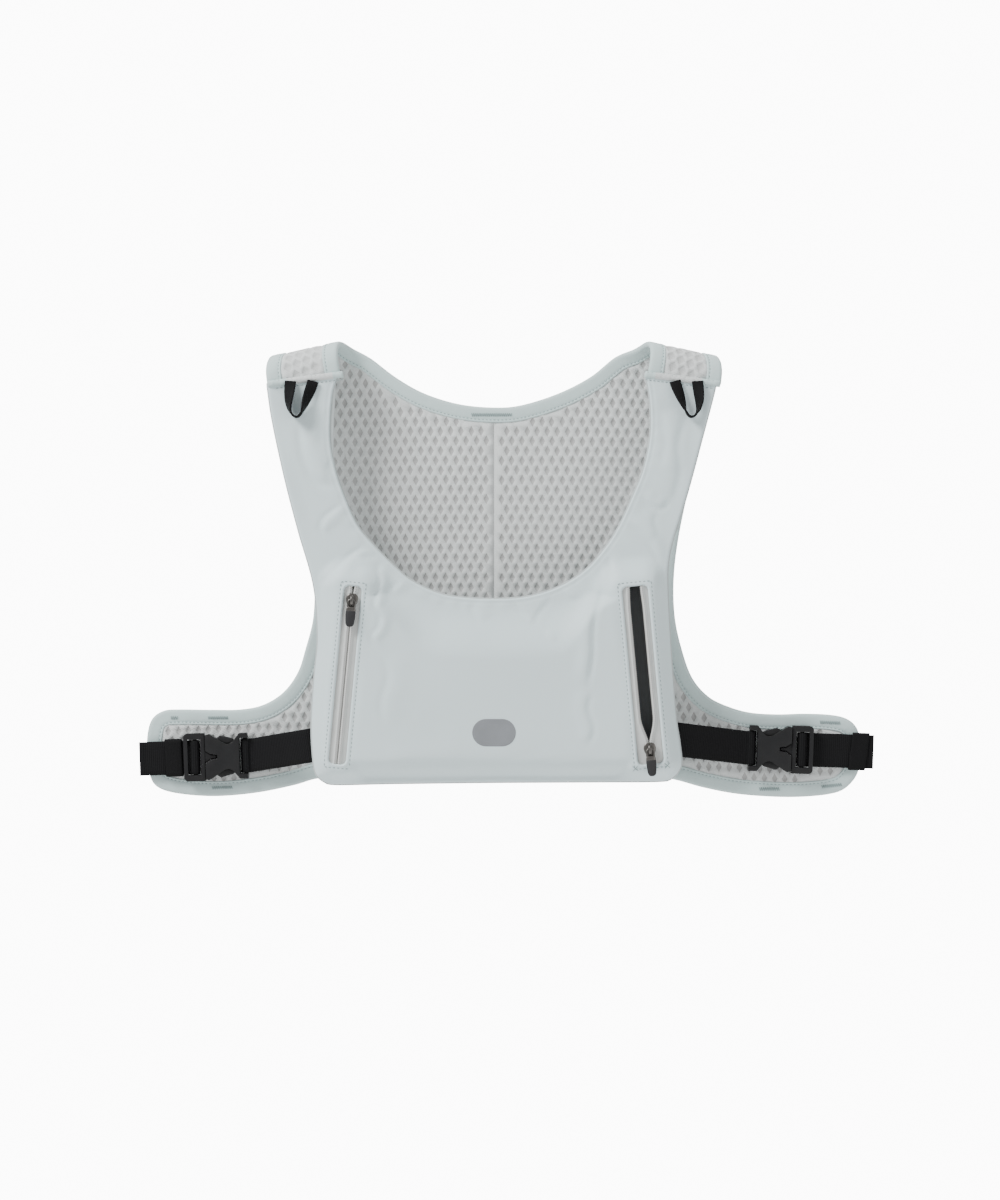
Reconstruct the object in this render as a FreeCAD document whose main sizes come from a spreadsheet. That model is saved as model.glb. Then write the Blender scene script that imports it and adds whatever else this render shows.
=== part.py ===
import FreeCAD, Part
import math
import os

import Sketcher

# Running phone vest: stretch front with two straps and a chest pocket, spacer-mesh back with two
# wings, and a side-release buckle each side.  Millimetres.  +Z is up, the front faces -Y and +X is
# the viewer's right.  The origin is midway between the undersides of the two shoulder folds.

Vector = FreeCAD.Vector
document = FreeCAD.newDocument("running_vest")

# ---------------------------------------------------------------- driving dimensions

DIMENSIONS = [
    # layers, front to back
    ("fold_inner", 12.2, "inside radius of the shoulder fold"),
    ("mesh_wall", 3.2, "spacer mesh thickness"),
    ("cloth_wall", 1.2, "front cloth thickness"),
    ("divider_wall", 0.8, "pocket divider and strap interlining thickness"),
    ("binding_proud", 0.3, "binding stands proud of the mesh, each face"),
    ("pocket_depth", 9.8, "clear depth of the phone compartment"),
    # shoulders
    ("strap_middle", 108.0, "centre of each shoulder fold from the middle plane"),
    ("strap_wide", 46.0, "width of each shoulder fold"),
    ("shoulder_slope", 12.0, "shoulder fold slope, degrees"),
    ("fold_leg", 3.0, "straight mesh below the fold, down to the seam"),
    ("strap_neck_in", 91.0, "inner strap edge at the seam"),
    # front panel
    ("neck_round", 95.0, "radius of the front neckline"),
    ("neck_middle", 49.0, "neckline centre below the origin"),
    ("waist_half", 103.5, "half width of the chest panel at its waist"),
    ("waist_down", 158.0, "waist below the origin"),
    ("hem_half", 107.5, "half width of the chest panel at the hem"),
    ("hem_down", 252.0, "front hem below the origin"),
    ("hem_round", 9.0, "corner radius of the front hem"),
    ("pocket_inset", 3.0, "pocket seam inside the panel edge"),
    ("pocket_top_down", 146.0, "lowest point of the pocket's top seam"),
    ("pocket_rise", 26.0, "rise of the pocket's top seam towards its ends"),
    ("pocket_shrug", 4.0, "inward step of the pocket's upper corners"),
    ("pocket_dip", 2.0, "extra fall of the pocket's top seam at the middle"),
    ("pocket_bend_out", 0.62, "outer bend of the pocket's top seam, share of the half width"),
    ("pocket_bend_in", 0.3, "inner bend of the pocket's top seam, share of the half width"),
    ("lining_foot_out", 5.0, "strap interlining foot past the waist line"),
    ("lining_foot_in", 10.0, "strap interlining foot inside the neckline"),
    ("lining_foot_drop", 0.62, "strap interlining foot below the neckline centre, share"),
    ("cut_spill", 1.0, "cuts run this far past a face"),
    # back panel
    ("back_neck_down", 31.0, "lowest point of the back neckline"),
    ("back_waist_half", 106.0, "back panel half width under the arms"),
    ("back_waist_down", 133.0, "height where the armhole starts to flare"),
    ("flare_share", 0.73, "armhole flare radius over its chord"),
    ("wing_top_down", 210.5, "upper edge of the wings"),
    ("wing_low_down", 261.5, "lowest point of the wings"),
    ("wing_root", 150.0, "where the wing's upper edge becomes straight"),
    ("wing_left", 206.0, "reach of the left wing"),
    ("wing_right", 217.5, "reach of the right wing"),
    ("wing_round", 13.0, "corner radius of the wing ends"),
    ("back_hem_down", 250.0, "back hem at the middle"),
    ("hem_drop", 4.0, "fall of the back hem from the middle to the sides"),
    ("hem_sweep", 150.0, "radius of the sweep into the wing's lower edge"),
    ("binding_wide", 9.0, "width of the edge binding"),
    # zips
    ("zip_long", 104.0, "length of each zip"),
    ("zip_top_down", 137.5, "top of the zips below the origin"),
    ("zip_out", 82.0, "zip top from the middle plane"),
    ("zip_tilt", 5.3, "zip lean, degrees"),
    ("window_shut", 10.0, "window of the closed zip"),
    ("window_open", 15.0, "window of the open zip"),
    ("gap_shut", 1.2, "space between the closed coils"),
    ("gap_open", 7.4, "space between the open coils"),
    ("tape_wide", 7.0, "width of one zip tape"),
    ("tape_wall", 0.6, "zip tape thickness"),
    ("coil_wide", 1.3, "width of one coil row"),
    ("coil_high", 1.2, "height of a coil row"),
    ("slider_wide", 7.4, "slider width"),
    ("slider_long", 8.2, "slider length"),
    ("slider_plate", 1.0, "slider plate thickness"),
    ("pull_wide", 6.0, "pull width"),
    ("pull_long", 15.4, "pull length"),
    ("pull_metal", 5.6, "bare metal length at the top of the pull"),
    ("pull_wall", 1.4, "pull thickness"),
    ("bridge_wide", 1.6, "width of the slider's bridge"),
    ("bridge_rise", 1.5, "hinge height over the slider plate"),
    ("pin_wide", 0.9, "thickness of the pull's cross pin"),
    ("stop_long", 1.5, "coil ends short of the window"),
    ("tape_spare", 2.0, "tape past each end of the window"),
    # buckles and straps
    ("web_wide", 20.0, "strap webbing width"),
    ("web_wall", 1.2, "strap webbing thickness"),
    ("buckle_gap", 1.2, "space between the housing and the back mesh"),
    ("buckle_left", 158.3, "left buckle centre from the middle plane"),
    ("buckle_right", 163.5, "right buckle centre from the middle plane"),
    ("buckle_left_down", 238.0, "left buckle centre below the origin"),
    ("buckle_right_down", 233.5, "right buckle centre below the origin"),
    ("buckle_tilt", 2.0, "buckle lean, degrees"),
    ("web_left_down", 230.8, "left strap height where it leaves the chest panel"),
    ("web_right_down", 227.3, "right strap height where it leaves the chest panel"),
    ("web_lap", 8.0, "strap webbing sewn behind the chest panel"),
    ("housing_half", 12.5, "half length of the buckle housing"),
    ("housing_high", 27.0, "height of the buckle housing"),
    ("housing_thick", 8.4, "thickness of the buckle housing"),
    ("housing_wall", 1.5, "housing wall"),
    ("waist_high", 14.4, "housing height at its waist"),
    ("plug_long", 12.6, "plug frame length"),
    ("plug_high", 28.4, "plug frame height"),
    ("plug_thick", 6.0, "plug frame thickness"),
    ("bar_wide", 2.4, "width of the strap bars"),
    ("bar_thick", 2.4, "thickness of the strap bars"),
    ("housing_round", 2.6, "corner radius of the buckle"),
    ("waist_round", 4.6, "radius of the housing's waist"),
    ("notch_long", 6.8, "length of the funnel in the housing's mouth"),
    ("notch_wide", 4.0, "half width of the funnel at the mouth"),
    ("arm_thick", 4.4, "latch arm thickness"),
    ("arm_wide", 2.2, "latch arm width at its root"),
    ("running_gap", 0.3, "clearance round moving pieces"),
    ("tail_left", 26.6, "left strap tail past the plug"),
    ("tail_right", 36.1, "right strap tail past the plug"),
    ("anchor_left", 1.2, "left strap anchor short of the wing end"),
    ("anchor_right", 9.5, "right strap anchor short of the wing end"),
    ("anchor_sewn", 5.0, "sewn length of the strap anchor"),
    ("keeper_left", 1.2, "left keeper's near edge past the plug"),
    ("keeper_right", 22.4, "right keeper's near edge past the plug"),
    ("keeper_wide", 10.0, "keeper width"),
    ("keeper_wall", 0.9, "keeper thickness"),
    # gear loops and trim
    ("loop_middle", 113.5, "gear loop centre from the middle plane"),
    ("loop_out", 19.6, "gear loop outside width"),
    ("loop_hole", 6.8, "gear loop hole width"),
    ("loop_long", 21.5, "gear loop length below its pivot"),
    ("loop_foot", 1.9, "webbing thickness at the bottom of the gear loop"),
    ("ridge_high", 3.2, "shoulder seam ridge height"),
    ("ridge_proud", 1.4, "shoulder seam ridge depth"),
    ("badge_wide", 25.5, "reflective print width"),
    ("badge_high", 16.0, "reflective print height"),
    ("badge_down", 222.8, "reflective print centre below the origin"),
    ("badge_wall", 0.2, "reflective print thickness"),
    # proportions
    ("loop_bend", 0.9, "gear loop corner radius over half its width"),
    ("slider_end_room", 1.02, "slider centre from the zip's end, in slider lengths"),
    ("post_share", 0.8, "slider post over half the slider length"),
    ("slider_tail", 0.7, "slider's narrow end over its width"),
    ("slider_cheek", 0.3, "where the slider reaches full width, over half its length"),
    ("eye_wide", 2.2, "bridge eye over the pin, front to back"),
    ("eye_high", 1.3, "bridge eye over the pin, up and down"),
    ("crotch_share", 1.42, "depth of the pull's fork over the bridge rise"),
    ("pull_neck", 0.4, "where the pull widens, over its metal length"),
    ("grip_corner", 0.7, "grip corner radius over half its width"),
    ("lobe_share", 0.93, "latch pads' reach over the housing's half height"),
    ("mouth_share", 0.96, "housing mouth over its height"),
    ("shoulder_share", 0.8, "housing shoulder over its half length"),
    ("waist_near", 0.15, "mouth side of the waist, over the half length"),
    ("waist_near_high", 1.15, "mouth side of the waist, over the waist height"),
    ("waist_far", 0.36, "strap side of the waist, over the half length"),
    ("waist_far_high", 1.3, "strap side of the waist, over the waist height"),
    ("ear_share", 0.62, "inner end of the strap side, over the half length"),
    ("notch_bend", 0.45, "where the funnel narrows, over its length"),
    ("notch_bend_wide", 0.35, "funnel width at its bend, over the mouth's"),
    ("notch_tip_wide", 0.2, "funnel width at its tip, over the mouth's"),
    ("arm_root", 0.5, "latch arm root over the housing's half height"),
    ("arm_bend", 0.62, "where the latch arm starts to widen, over the half length"),
    ("arm_step", 0.2, "rise of the latch arm at its bend, in arm widths"),
    ("arm_pad", 0.3, "ends of the finger pad, over the half length"),
    ("arm_pad_fall", 0.9, "fall of the pad's strap side, in arm widths"),
    ("arm_tip", 0.42, "tip of the latch arm, over the half length"),
    ("arm_tip_fall", 1.8, "fall of the tip, in arm widths"),
    ("arm_heel", 0.5, "heel of the latch arm and end of the cavity, as shares"),
    ("cut_lap", 0.1, "small laps and steps at joined cuts"),
    # bartacks
    ("tack_long", 12.0, "bartack length"),
    ("tack_high", 2.6, "bartack height"),
    ("tack_proud", 0.5, "bartack thickness"),
]

sheet = document.addObject("Spreadsheet::Sheet", "Sizes")


class Size:
    """A number together with the expression that gives it from the sheet."""

    def __init__(self, text, value):
        self.text = text
        self.value = value

    def joined(self, sign, other, value):
        return Size(f"({self.text} {sign} {as_size(other).text})", value)

    def __add__(self, other):
        return self.joined("+", other, self.value + as_size(other).value)

    def __sub__(self, other):
        return self.joined("-", other, self.value - as_size(other).value)

    def __mul__(self, other):
        return self.joined("*", other, self.value * as_size(other).value)

    def __truediv__(self, other):
        return self.joined("/", other, self.value / as_size(other).value)

    def __neg__(self):
        return Size(f"(-1 * {self.text})", -self.value)


def as_size(number):
    return number if isinstance(number, Size) else Size(repr(float(number)), float(number))


def sine(angle):
    return Size(f"sin({angle.text} * 1 deg)", math.sin(math.radians(angle.value)))


def cosine(angle):
    return Size(f"cos({angle.text} * 1 deg)", math.cos(math.radians(angle.value)))


def arctangent(ratio):
    return Size(f"(atan({ratio.text}) / 1 deg)", math.degrees(math.atan(ratio.value)))


def root(number):
    return Size(f"sqrt({number.text})", math.sqrt(number.value))


class Sizes:
    """Every driving dimension by its name."""


size = Sizes()
for row, (alias, number, note) in enumerate(DIMENSIONS, start=1):
    sheet.set(f"A{row}", note)
    sheet.set(f"B{row}", str(number))
    sheet.setAlias(f"B{row}", alias)
document.recompute()
for alias, number, note in DIMENSIONS:
    setattr(size, alias, Size(f"Sizes.{alias}", float(sheet.get(alias))))

# ---------------------------------------------------------------- building blocks

FRONT = "XZ_Plane"   # sketch x is +X, sketch y is +Z, and a pad grows towards -Y
SIDE = "YZ_Plane"    # sketch x is +Y, sketch y is +Z, and a pad grows towards +X
FLAT = "XY_Plane"    # sketch x is +X, sketch y is +Y, and a pad grows towards +Z


def origin_plane(body, role):
    return next(plane for plane in body.Origin.OriginFeatures if plane.Role == role)


def line(x, y):
    return ("line", as_size(x), as_size(y), None, None)


def arc(x, y, radius, side):
    """An arc to (x, y); side is +1 when it bulges to the left of its direction, -1 to the right."""
    return ("arc", as_size(x), as_size(y), as_size(radius), side)


def arc_between(start, end, radius, side):
    """The arc of a circle from start to end that bulges to the given side."""
    chord = end.sub(start)
    across = Vector(-chord.y, chord.x, 0).normalize()
    half = chord.Length / 2
    offset = math.sqrt(max(radius * radius - half * half, 0.0))
    centre = start.add(chord * 0.5).sub(across * (offset * side))
    first, last = (end, start) if side > 0 else (start, end)
    angles = [math.atan2(point.y - centre.y, point.x - centre.x) for point in (first, last)]
    return Part.ArcOfCircle(Part.Circle(centre, Vector(0, 0, 1), radius), *angles)


def draw_outline(sketch, steps):
    """Close the steps into a loop whose corners and radii are bound to the sheet."""
    corners = [Vector(step[1].value, step[2].value, 0) for step in steps]
    first = sketch.GeometryCount
    for index, step in enumerate(steps):
        start, end = corners[index - 1], corners[index]
        if step[0] == "line":
            sketch.addGeometry(Part.LineSegment(start, end))
        else:
            sketch.addGeometry(arc_between(start, end, step[3].value, step[4]))
    ends = [(2, 1) if step[0] == "arc" and step[4] > 0 else (1, 2) for step in steps]
    count = len(steps)
    for index, step in enumerate(steps):
        here = first + index
        after = first + (index + 1) % count
        tail = ends[index][1]
        head = ends[(index + 1) % count][0]
        sketch.addConstraint(Sketcher.Constraint("Coincident", here, tail, after, head))
        for kind, coordinate in (("DistanceX", step[1]), ("DistanceY", step[2])):
            number = sketch.addConstraint(
                Sketcher.Constraint(kind, -1, 1, here, tail, coordinate.value))
            sketch.setExpression(f"Constraints[{number}]", coordinate.text)
        if step[0] == "arc":
            number = sketch.addConstraint(Sketcher.Constraint("Radius", here, step[3].value))
            sketch.setExpression(f"Constraints[{number}]", step[3].text)


def add_sketch(body, role, name, height, loops):
    """A sketch on one of the body's own planes, moved along its normal by height."""
    sketch = body.newObject("Sketcher::SketchObject", name)
    sketch.AttachmentSupport = [(origin_plane(body, role), "")]
    sketch.MapMode = "FlatFace"
    sketch.setExpression("AttachmentOffset.Base.z", as_size(height).text)
    for steps in loops:
        draw_outline(sketch, steps)
    return sketch


def pad(body, role, name, height, length, loops):
    sketch = add_sketch(body, role, f"{name}_outline", height, loops)
    feature = body.newObject("PartDesign::Pad", name)
    feature.Profile = sketch
    feature.setExpression("Length", as_size(length).text)
    document.recompute()
    return feature


def cut(body, role, name, height, length, loops):
    """Remove material from the sketch towards the plane's normal, and check that it did."""
    before = body.Shape.Volume
    sketch = add_sketch(body, role, f"{name}_outline", height, loops)
    feature = body.newObject("PartDesign::Pocket", name)
    feature.Profile = sketch
    feature.setExpression("Length", as_size(length).text)
    feature.Reversed = True
    document.recompute()
    if body.Shape.Volume >= before - 1e-6:
        raise RuntimeError(f"{name} removes nothing from {body.Label}")
    return feature


def new_body(name):
    body = document.addObject("PartDesign::Body", name)
    body.Label = name
    return body


def box_loop(x_low, x_high, y_low, y_high):
    return [line(x_low, y_low), line(x_high, y_low), line(x_high, y_high), line(x_low, y_high)]


def slot_loop(x_middle, y_middle, wide, high):
    """A rounded slot, longest along its first axis."""
    run = (wide - high) / 2
    half = high / 2
    return [
        line(x_middle + run, y_middle - half),
        arc(x_middle + run + half, y_middle, half, -1),
        arc(x_middle + run, y_middle + half, half, -1),
        line(x_middle - run, y_middle + half),
        arc(x_middle - run - half, y_middle, half, -1),
        arc(x_middle - run, y_middle - half, half, -1),
    ]


# ---------------------------------------------------------------- shared places

zero = as_size(0)
mesh_front = size.fold_inner
mesh_back = size.fold_inner + size.mesh_wall
lining_back = -size.fold_inner
lining_front = lining_back - size.cloth_wall
divider_front = lining_front - size.divider_wall
strap_front = divider_front - size.cloth_wall
pocket_front = divider_front - size.pocket_depth
shell_front = pocket_front - size.cloth_wall
tape_back = pocket_front + size.tape_wall

slope_sine = sine(size.shoulder_slope)
slope_cosine = cosine(size.shoulder_slope)
fold_down = size.fold_inner
half_strap = size.strap_wide / 2


def fold_point(along, down):
    """A point on the right shoulder, outwards along the fold and down across it."""
    x = size.strap_middle + along * slope_cosine - down * slope_sine
    z = -fold_down - along * slope_sine - down * slope_cosine
    return x, z


seam_outer = fold_point(half_strap, size.fold_leg)
seam_inner = fold_point(-half_strap, size.fold_leg)


def mirrored(point):
    return -point[0], point[1]


# ---------------------------------------------------------------- front panel

def front_outline():
    return [
        line(*mirrored(seam_outer)),
        line(-size.waist_half, -size.waist_down),
        line(-size.hem_half, -size.hem_down + size.hem_round),
        arc(-size.hem_half + size.hem_round, -size.hem_down, size.hem_round, -1),
        line(size.hem_half - size.hem_round, -size.hem_down),
        arc(size.hem_half, -size.hem_down + size.hem_round, size.hem_round, -1),
        line(size.waist_half, -size.waist_down),
        line(*seam_outer),
        line(*seam_inner),
        line(size.neck_round, -size.neck_middle),
        arc(0, -size.neck_middle - size.neck_round, size.neck_round, 1),
        arc(-size.neck_round, -size.neck_middle, size.neck_round, 1),
        line(*mirrored(seam_inner)),
    ]


def pocket_outline(inset):
    """The sewn edge of the phone compartment, moved inwards by inset."""
    side = size.pocket_inset + inset
    half = size.hem_half - side
    upper = size.waist_half - side
    low = -size.hem_down + side
    peak = -size.pocket_top_down - inset
    shoulder = peak + size.pocket_rise
    bend_out = size.waist_half * size.pocket_bend_out
    bend_in = size.waist_half * size.pocket_bend_in
    return [
        line(-half, low),
        line(half, low),
        line(upper, -size.waist_down),
        line(upper - size.pocket_shrug, shoulder),
        line(bend_out, peak + size.pocket_rise * size.pocket_bend_in),
        line(bend_in, peak - size.pocket_dip),
        line(-bend_in, peak - size.pocket_dip),
        line(-bend_out, peak + size.pocket_rise * size.pocket_bend_in),
        line(-upper + size.pocket_shrug, shoulder),
        line(-upper, -size.waist_down),
    ]


zip_sine = sine(size.zip_tilt)
zip_cosine = cosine(size.zip_tilt)


def zip_point(side, across, down):
    """A point of a zip: across to the viewer's right of its axis, and down along it."""
    x = size.zip_out * side + across * zip_cosine + down * zip_sine * side
    z = -size.zip_top_down - down * zip_cosine + across * zip_sine * side
    return x, z


def zip_loop(side, left, right, top, bottom):
    return [
        line(*zip_point(side, left, bottom)),
        line(*zip_point(side, right, bottom)),
        line(*zip_point(side, right, top)),
        line(*zip_point(side, left, top)),
    ]


def window_loop(side, window):
    return zip_loop(side, -window / 2, window / 2, zero, size.zip_long)


SIDES = [
    ("left", -1, size.window_shut, size.gap_shut),
    ("right", 1, size.window_open, size.gap_open),
]

front_shell = new_body("front_shell")
pad(front_shell, FRONT, "shell_sheet", -divider_front, size.cloth_wall, [front_outline()])
pad(front_shell, FRONT, "pocket_bulge", -divider_front, size.cloth_wall + size.pocket_depth,
    [pocket_outline(zero)])
cut(front_shell, FRONT, "pocket_space", -divider_front - size.cut_spill,
    size.pocket_depth + size.cut_spill, [pocket_outline(size.cloth_wall)])
cut(front_shell, FRONT, "zip_windows", -pocket_front - size.cut_spill,
    size.cloth_wall + size.cut_spill * 2,
    [window_loop(side, window) for name, side, window, gap in SIDES])

lining = new_body("front_lining")
pad(lining, FRONT, "lining_sheet", -lining_back, size.cloth_wall, [front_outline()])

divider = new_body("pocket_divider")
pad(divider, FRONT, "divider_sheet", -lining_front, size.divider_wall, [pocket_outline(zero)])

for name, side, window, gap in SIDES:
    padding = new_body(f"{name}_strap_interlining")
    outer = (seam_outer[0] * side, seam_outer[1])
    inner = (seam_inner[0] * side, seam_inner[1])
    reach = size.neck_middle + size.neck_round * size.lining_foot_drop
    pad(padding, FRONT, "interlining_sheet", -lining_front, size.divider_wall, [[
        line(*outer),
        line((size.waist_half + size.lining_foot_out) * side, -reach),
        line((size.neck_round - size.lining_foot_in) * side, -reach),
        arc(size.neck_round * side, -size.neck_middle, size.neck_round, side),
        line(*inner),
    ]])

badge = new_body("reflective_print")
pad(badge, FRONT, "print_film", -shell_front, size.badge_wall,
    [slot_loop(zero, -size.badge_down, size.badge_wide, size.badge_high)])

# ---------------------------------------------------------------- back panel

def back_edge(side, reach, inset):
    """The back panel's edge from the middle of the hem, round a wing, up to the shoulder."""
    wing_top = -size.wing_top_down - inset
    wing_low = -size.wing_low_down + inset
    hem = -size.back_hem_down + inset
    end = reach - inset
    corner = size.wing_round - inset
    waist = size.back_waist_half - inset
    flare_x = size.wing_root - waist
    flare_z = size.back_waist_down + wing_top
    flare = root(flare_x * flare_x + flare_z * flare_z) * size.flare_share
    shoulder = fold_point(half_strap - inset, zero)
    return [
        line(0, hem),
        line(size.hem_half * side, hem - size.hem_drop),
        arc((size.wing_root + size.hem_drop * 5) * side, wing_low, size.hem_sweep, -side),
        line((end - corner) * side, wing_low),
        arc(end * side, wing_low + corner, corner, -side),
        line(end * side, wing_top - corner),
        arc((end - corner) * side, wing_top, corner, -side),
        line(size.wing_root * side, wing_top),
        arc(waist * side, -size.back_waist_down, flare, side),
        line(shoulder[0] * side, shoulder[1]),
    ]


def neck_arc(inset):
    """The corner at the shoulder and the neckline's arc down to the middle plane."""
    x, z = fold_point(-half_strap + inset, zero)
    low = -size.back_neck_down - inset
    rise = z - low
    radius = (x * x + rise * rise) / (rise * 2)
    return (x, z), low, radius


def mesh_outline(side, reach):
    corner, low, radius = neck_arc(size.binding_wide)
    return back_edge(side, reach, size.binding_wide) + [
        line(corner[0] * side, corner[1]),
        arc(0, low, radius, side),
    ]


WINGS = [("left", -1, size.wing_left), ("right", 1, size.wing_right)]
binding_front = mesh_front - size.binding_proud
binding_back = mesh_back + size.binding_proud

for name, side, reach in WINGS:
    mesh = new_body(f"{name}_back_mesh")
    pad(mesh, FRONT, "mesh_sheet", -mesh_back, size.mesh_wall, [mesh_outline(side, reach)])

    binding = new_body(f"{name}_edge_binding")
    crown = fold_point(-half_strap, zero)
    pad(binding, FRONT, "binding_sheet", -binding_back, binding_back - binding_front,
        [back_edge(side, reach, zero) + [line(crown[0] * side, crown[1]), line(0, crown[1])]])
    inner = back_edge(side, reach, size.binding_wide)
    over = [line(inner[-1][1], size.binding_wide), line(zero, size.binding_wide)]
    cut(binding, FRONT, "binding_inside", -binding_back - size.cut_spill,
        binding_back - binding_front + size.cut_spill * 2, [inner + over])

neck = new_body("neck_binding")
outer_corner, outer_low, outer_radius = neck_arc(zero)
inner_corner, inner_low, inner_radius = neck_arc(size.binding_wide)
pad(neck, FRONT, "neck_strip", -binding_back, binding_back - binding_front, [[
    line(-inner_corner[0], inner_corner[1]),
    arc(0, inner_low, inner_radius, -1),
    arc(inner_corner[0], inner_corner[1], inner_radius, -1),
    line(*outer_corner),
    arc(0, outer_low, outer_radius, 1),
    arc(-outer_corner[0], outer_corner[1], outer_radius, 1),
]])

# ---------------------------------------------------------------- shoulder folds

def fold_loop(inner_radius, outer_radius, leg):
    """Section of the shoulder fold: a half ring with a straight leg at the front."""
    return [
        line(outer_radius, 0),
        arc(0, outer_radius, outer_radius, -1),
        arc(-outer_radius, 0, outer_radius, -1),
        line(-outer_radius, -leg),
        line(-inner_radius, -leg),
        line(-inner_radius, 0),
        arc(0, inner_radius, inner_radius, 1),
        arc(inner_radius, 0, inner_radius, 1),
    ]


def place(body, x, y, z, angle):
    """Put a body at (x, y, z), turned about Y, with every value bound to the sheet."""
    body.Placement = FreeCAD.Placement(Vector(x.value, y.value, z.value),
                                       FreeCAD.Rotation(Vector(0, 1, 0), angle.value))
    for axis, number in (("x", x), ("y", y), ("z", z)):
        body.setExpression(f"Placement.Base.{axis}", number.text)
    if angle.value != 0:
        body.setExpression("Placement.Rotation.Angle", angle.text)
    document.recompute()


FOLD_BANDS = [
    ("shoulder_mesh", -half_strap + size.binding_wide, size.strap_wide - size.binding_wide * 2, zero),
    ("shoulder_neck_binding", -half_strap, size.binding_wide, size.binding_proud),
    ("shoulder_arm_binding", half_strap - size.binding_wide, size.binding_wide, size.binding_proud),
]

for name, side, reach in WINGS:
    for band_name, start, width, proud in FOLD_BANDS:
        band = new_body(f"{name}_{band_name}")
        low = start if side > 0 else -start - width
        pad(band, SIDE, "fold_band", low, width,
            [fold_loop(size.fold_inner - proud, mesh_back + proud, size.fold_leg)])
        place(band, size.strap_middle * side, zero, -fold_down, size.shoulder_slope * side)

    ridge = new_body(f"{name}_shoulder_seam")
    ridge_low = -size.fold_leg - size.ridge_high
    pad(ridge, FRONT, "seam_ridge", -strap_front, size.ridge_proud,
        [box_loop(-half_strap, half_strap, ridge_low, -size.fold_leg)])
    place(ridge, size.strap_middle * side, zero, -fold_down, size.shoulder_slope * side)

# ---------------------------------------------------------------- gear loops

pivot = fold_point(size.loop_middle - size.strap_middle, size.fold_leg + size.ridge_high / 2)
loop_back = strap_front - size.ridge_proud - size.running_gap

for name, side, reach in WINGS:
    loop = new_body(f"{name}_gear_loop")
    half = size.loop_out / 2
    hole = size.loop_hole / 2
    bend = half * size.loop_bend
    inner_bend = hole * size.loop_bend
    pad(loop, FRONT, "loop_band", -loop_back, size.web_wall, [[
        line(-half, 0),
        line(-half, -size.loop_long + bend),
        arc(-half + bend, -size.loop_long, bend, -1),
        line(half - bend, -size.loop_long),
        arc(half, -size.loop_long + bend, bend, -1),
        line(half, 0),
    ]])
    low = -size.loop_long + size.loop_foot
    cut(loop, FRONT, "loop_hole", -loop_back - size.cut_spill,
        size.web_wall + size.cut_spill * 2, [[
        line(-hole, -size.loop_foot),
        line(-hole, low + inner_bend),
        arc(-hole + inner_bend, low, inner_bend, -1),
        line(hole - inner_bend, low),
        arc(hole, low + inner_bend, inner_bend, -1),
        line(hole, -size.loop_foot),
    ]])
    place(loop, pivot[0] * side, zero, pivot[1], zero)

# ---------------------------------------------------------------- zips

slider_front = shell_front - size.running_gap
post_wide = size.gap_shut - size.running_gap * 2
hinge_y = slider_front - size.slider_plate - size.bridge_rise
slider_room = size.slider_long * size.slider_end_room
slider_back = tape_back + size.running_gap + size.slider_plate

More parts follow.
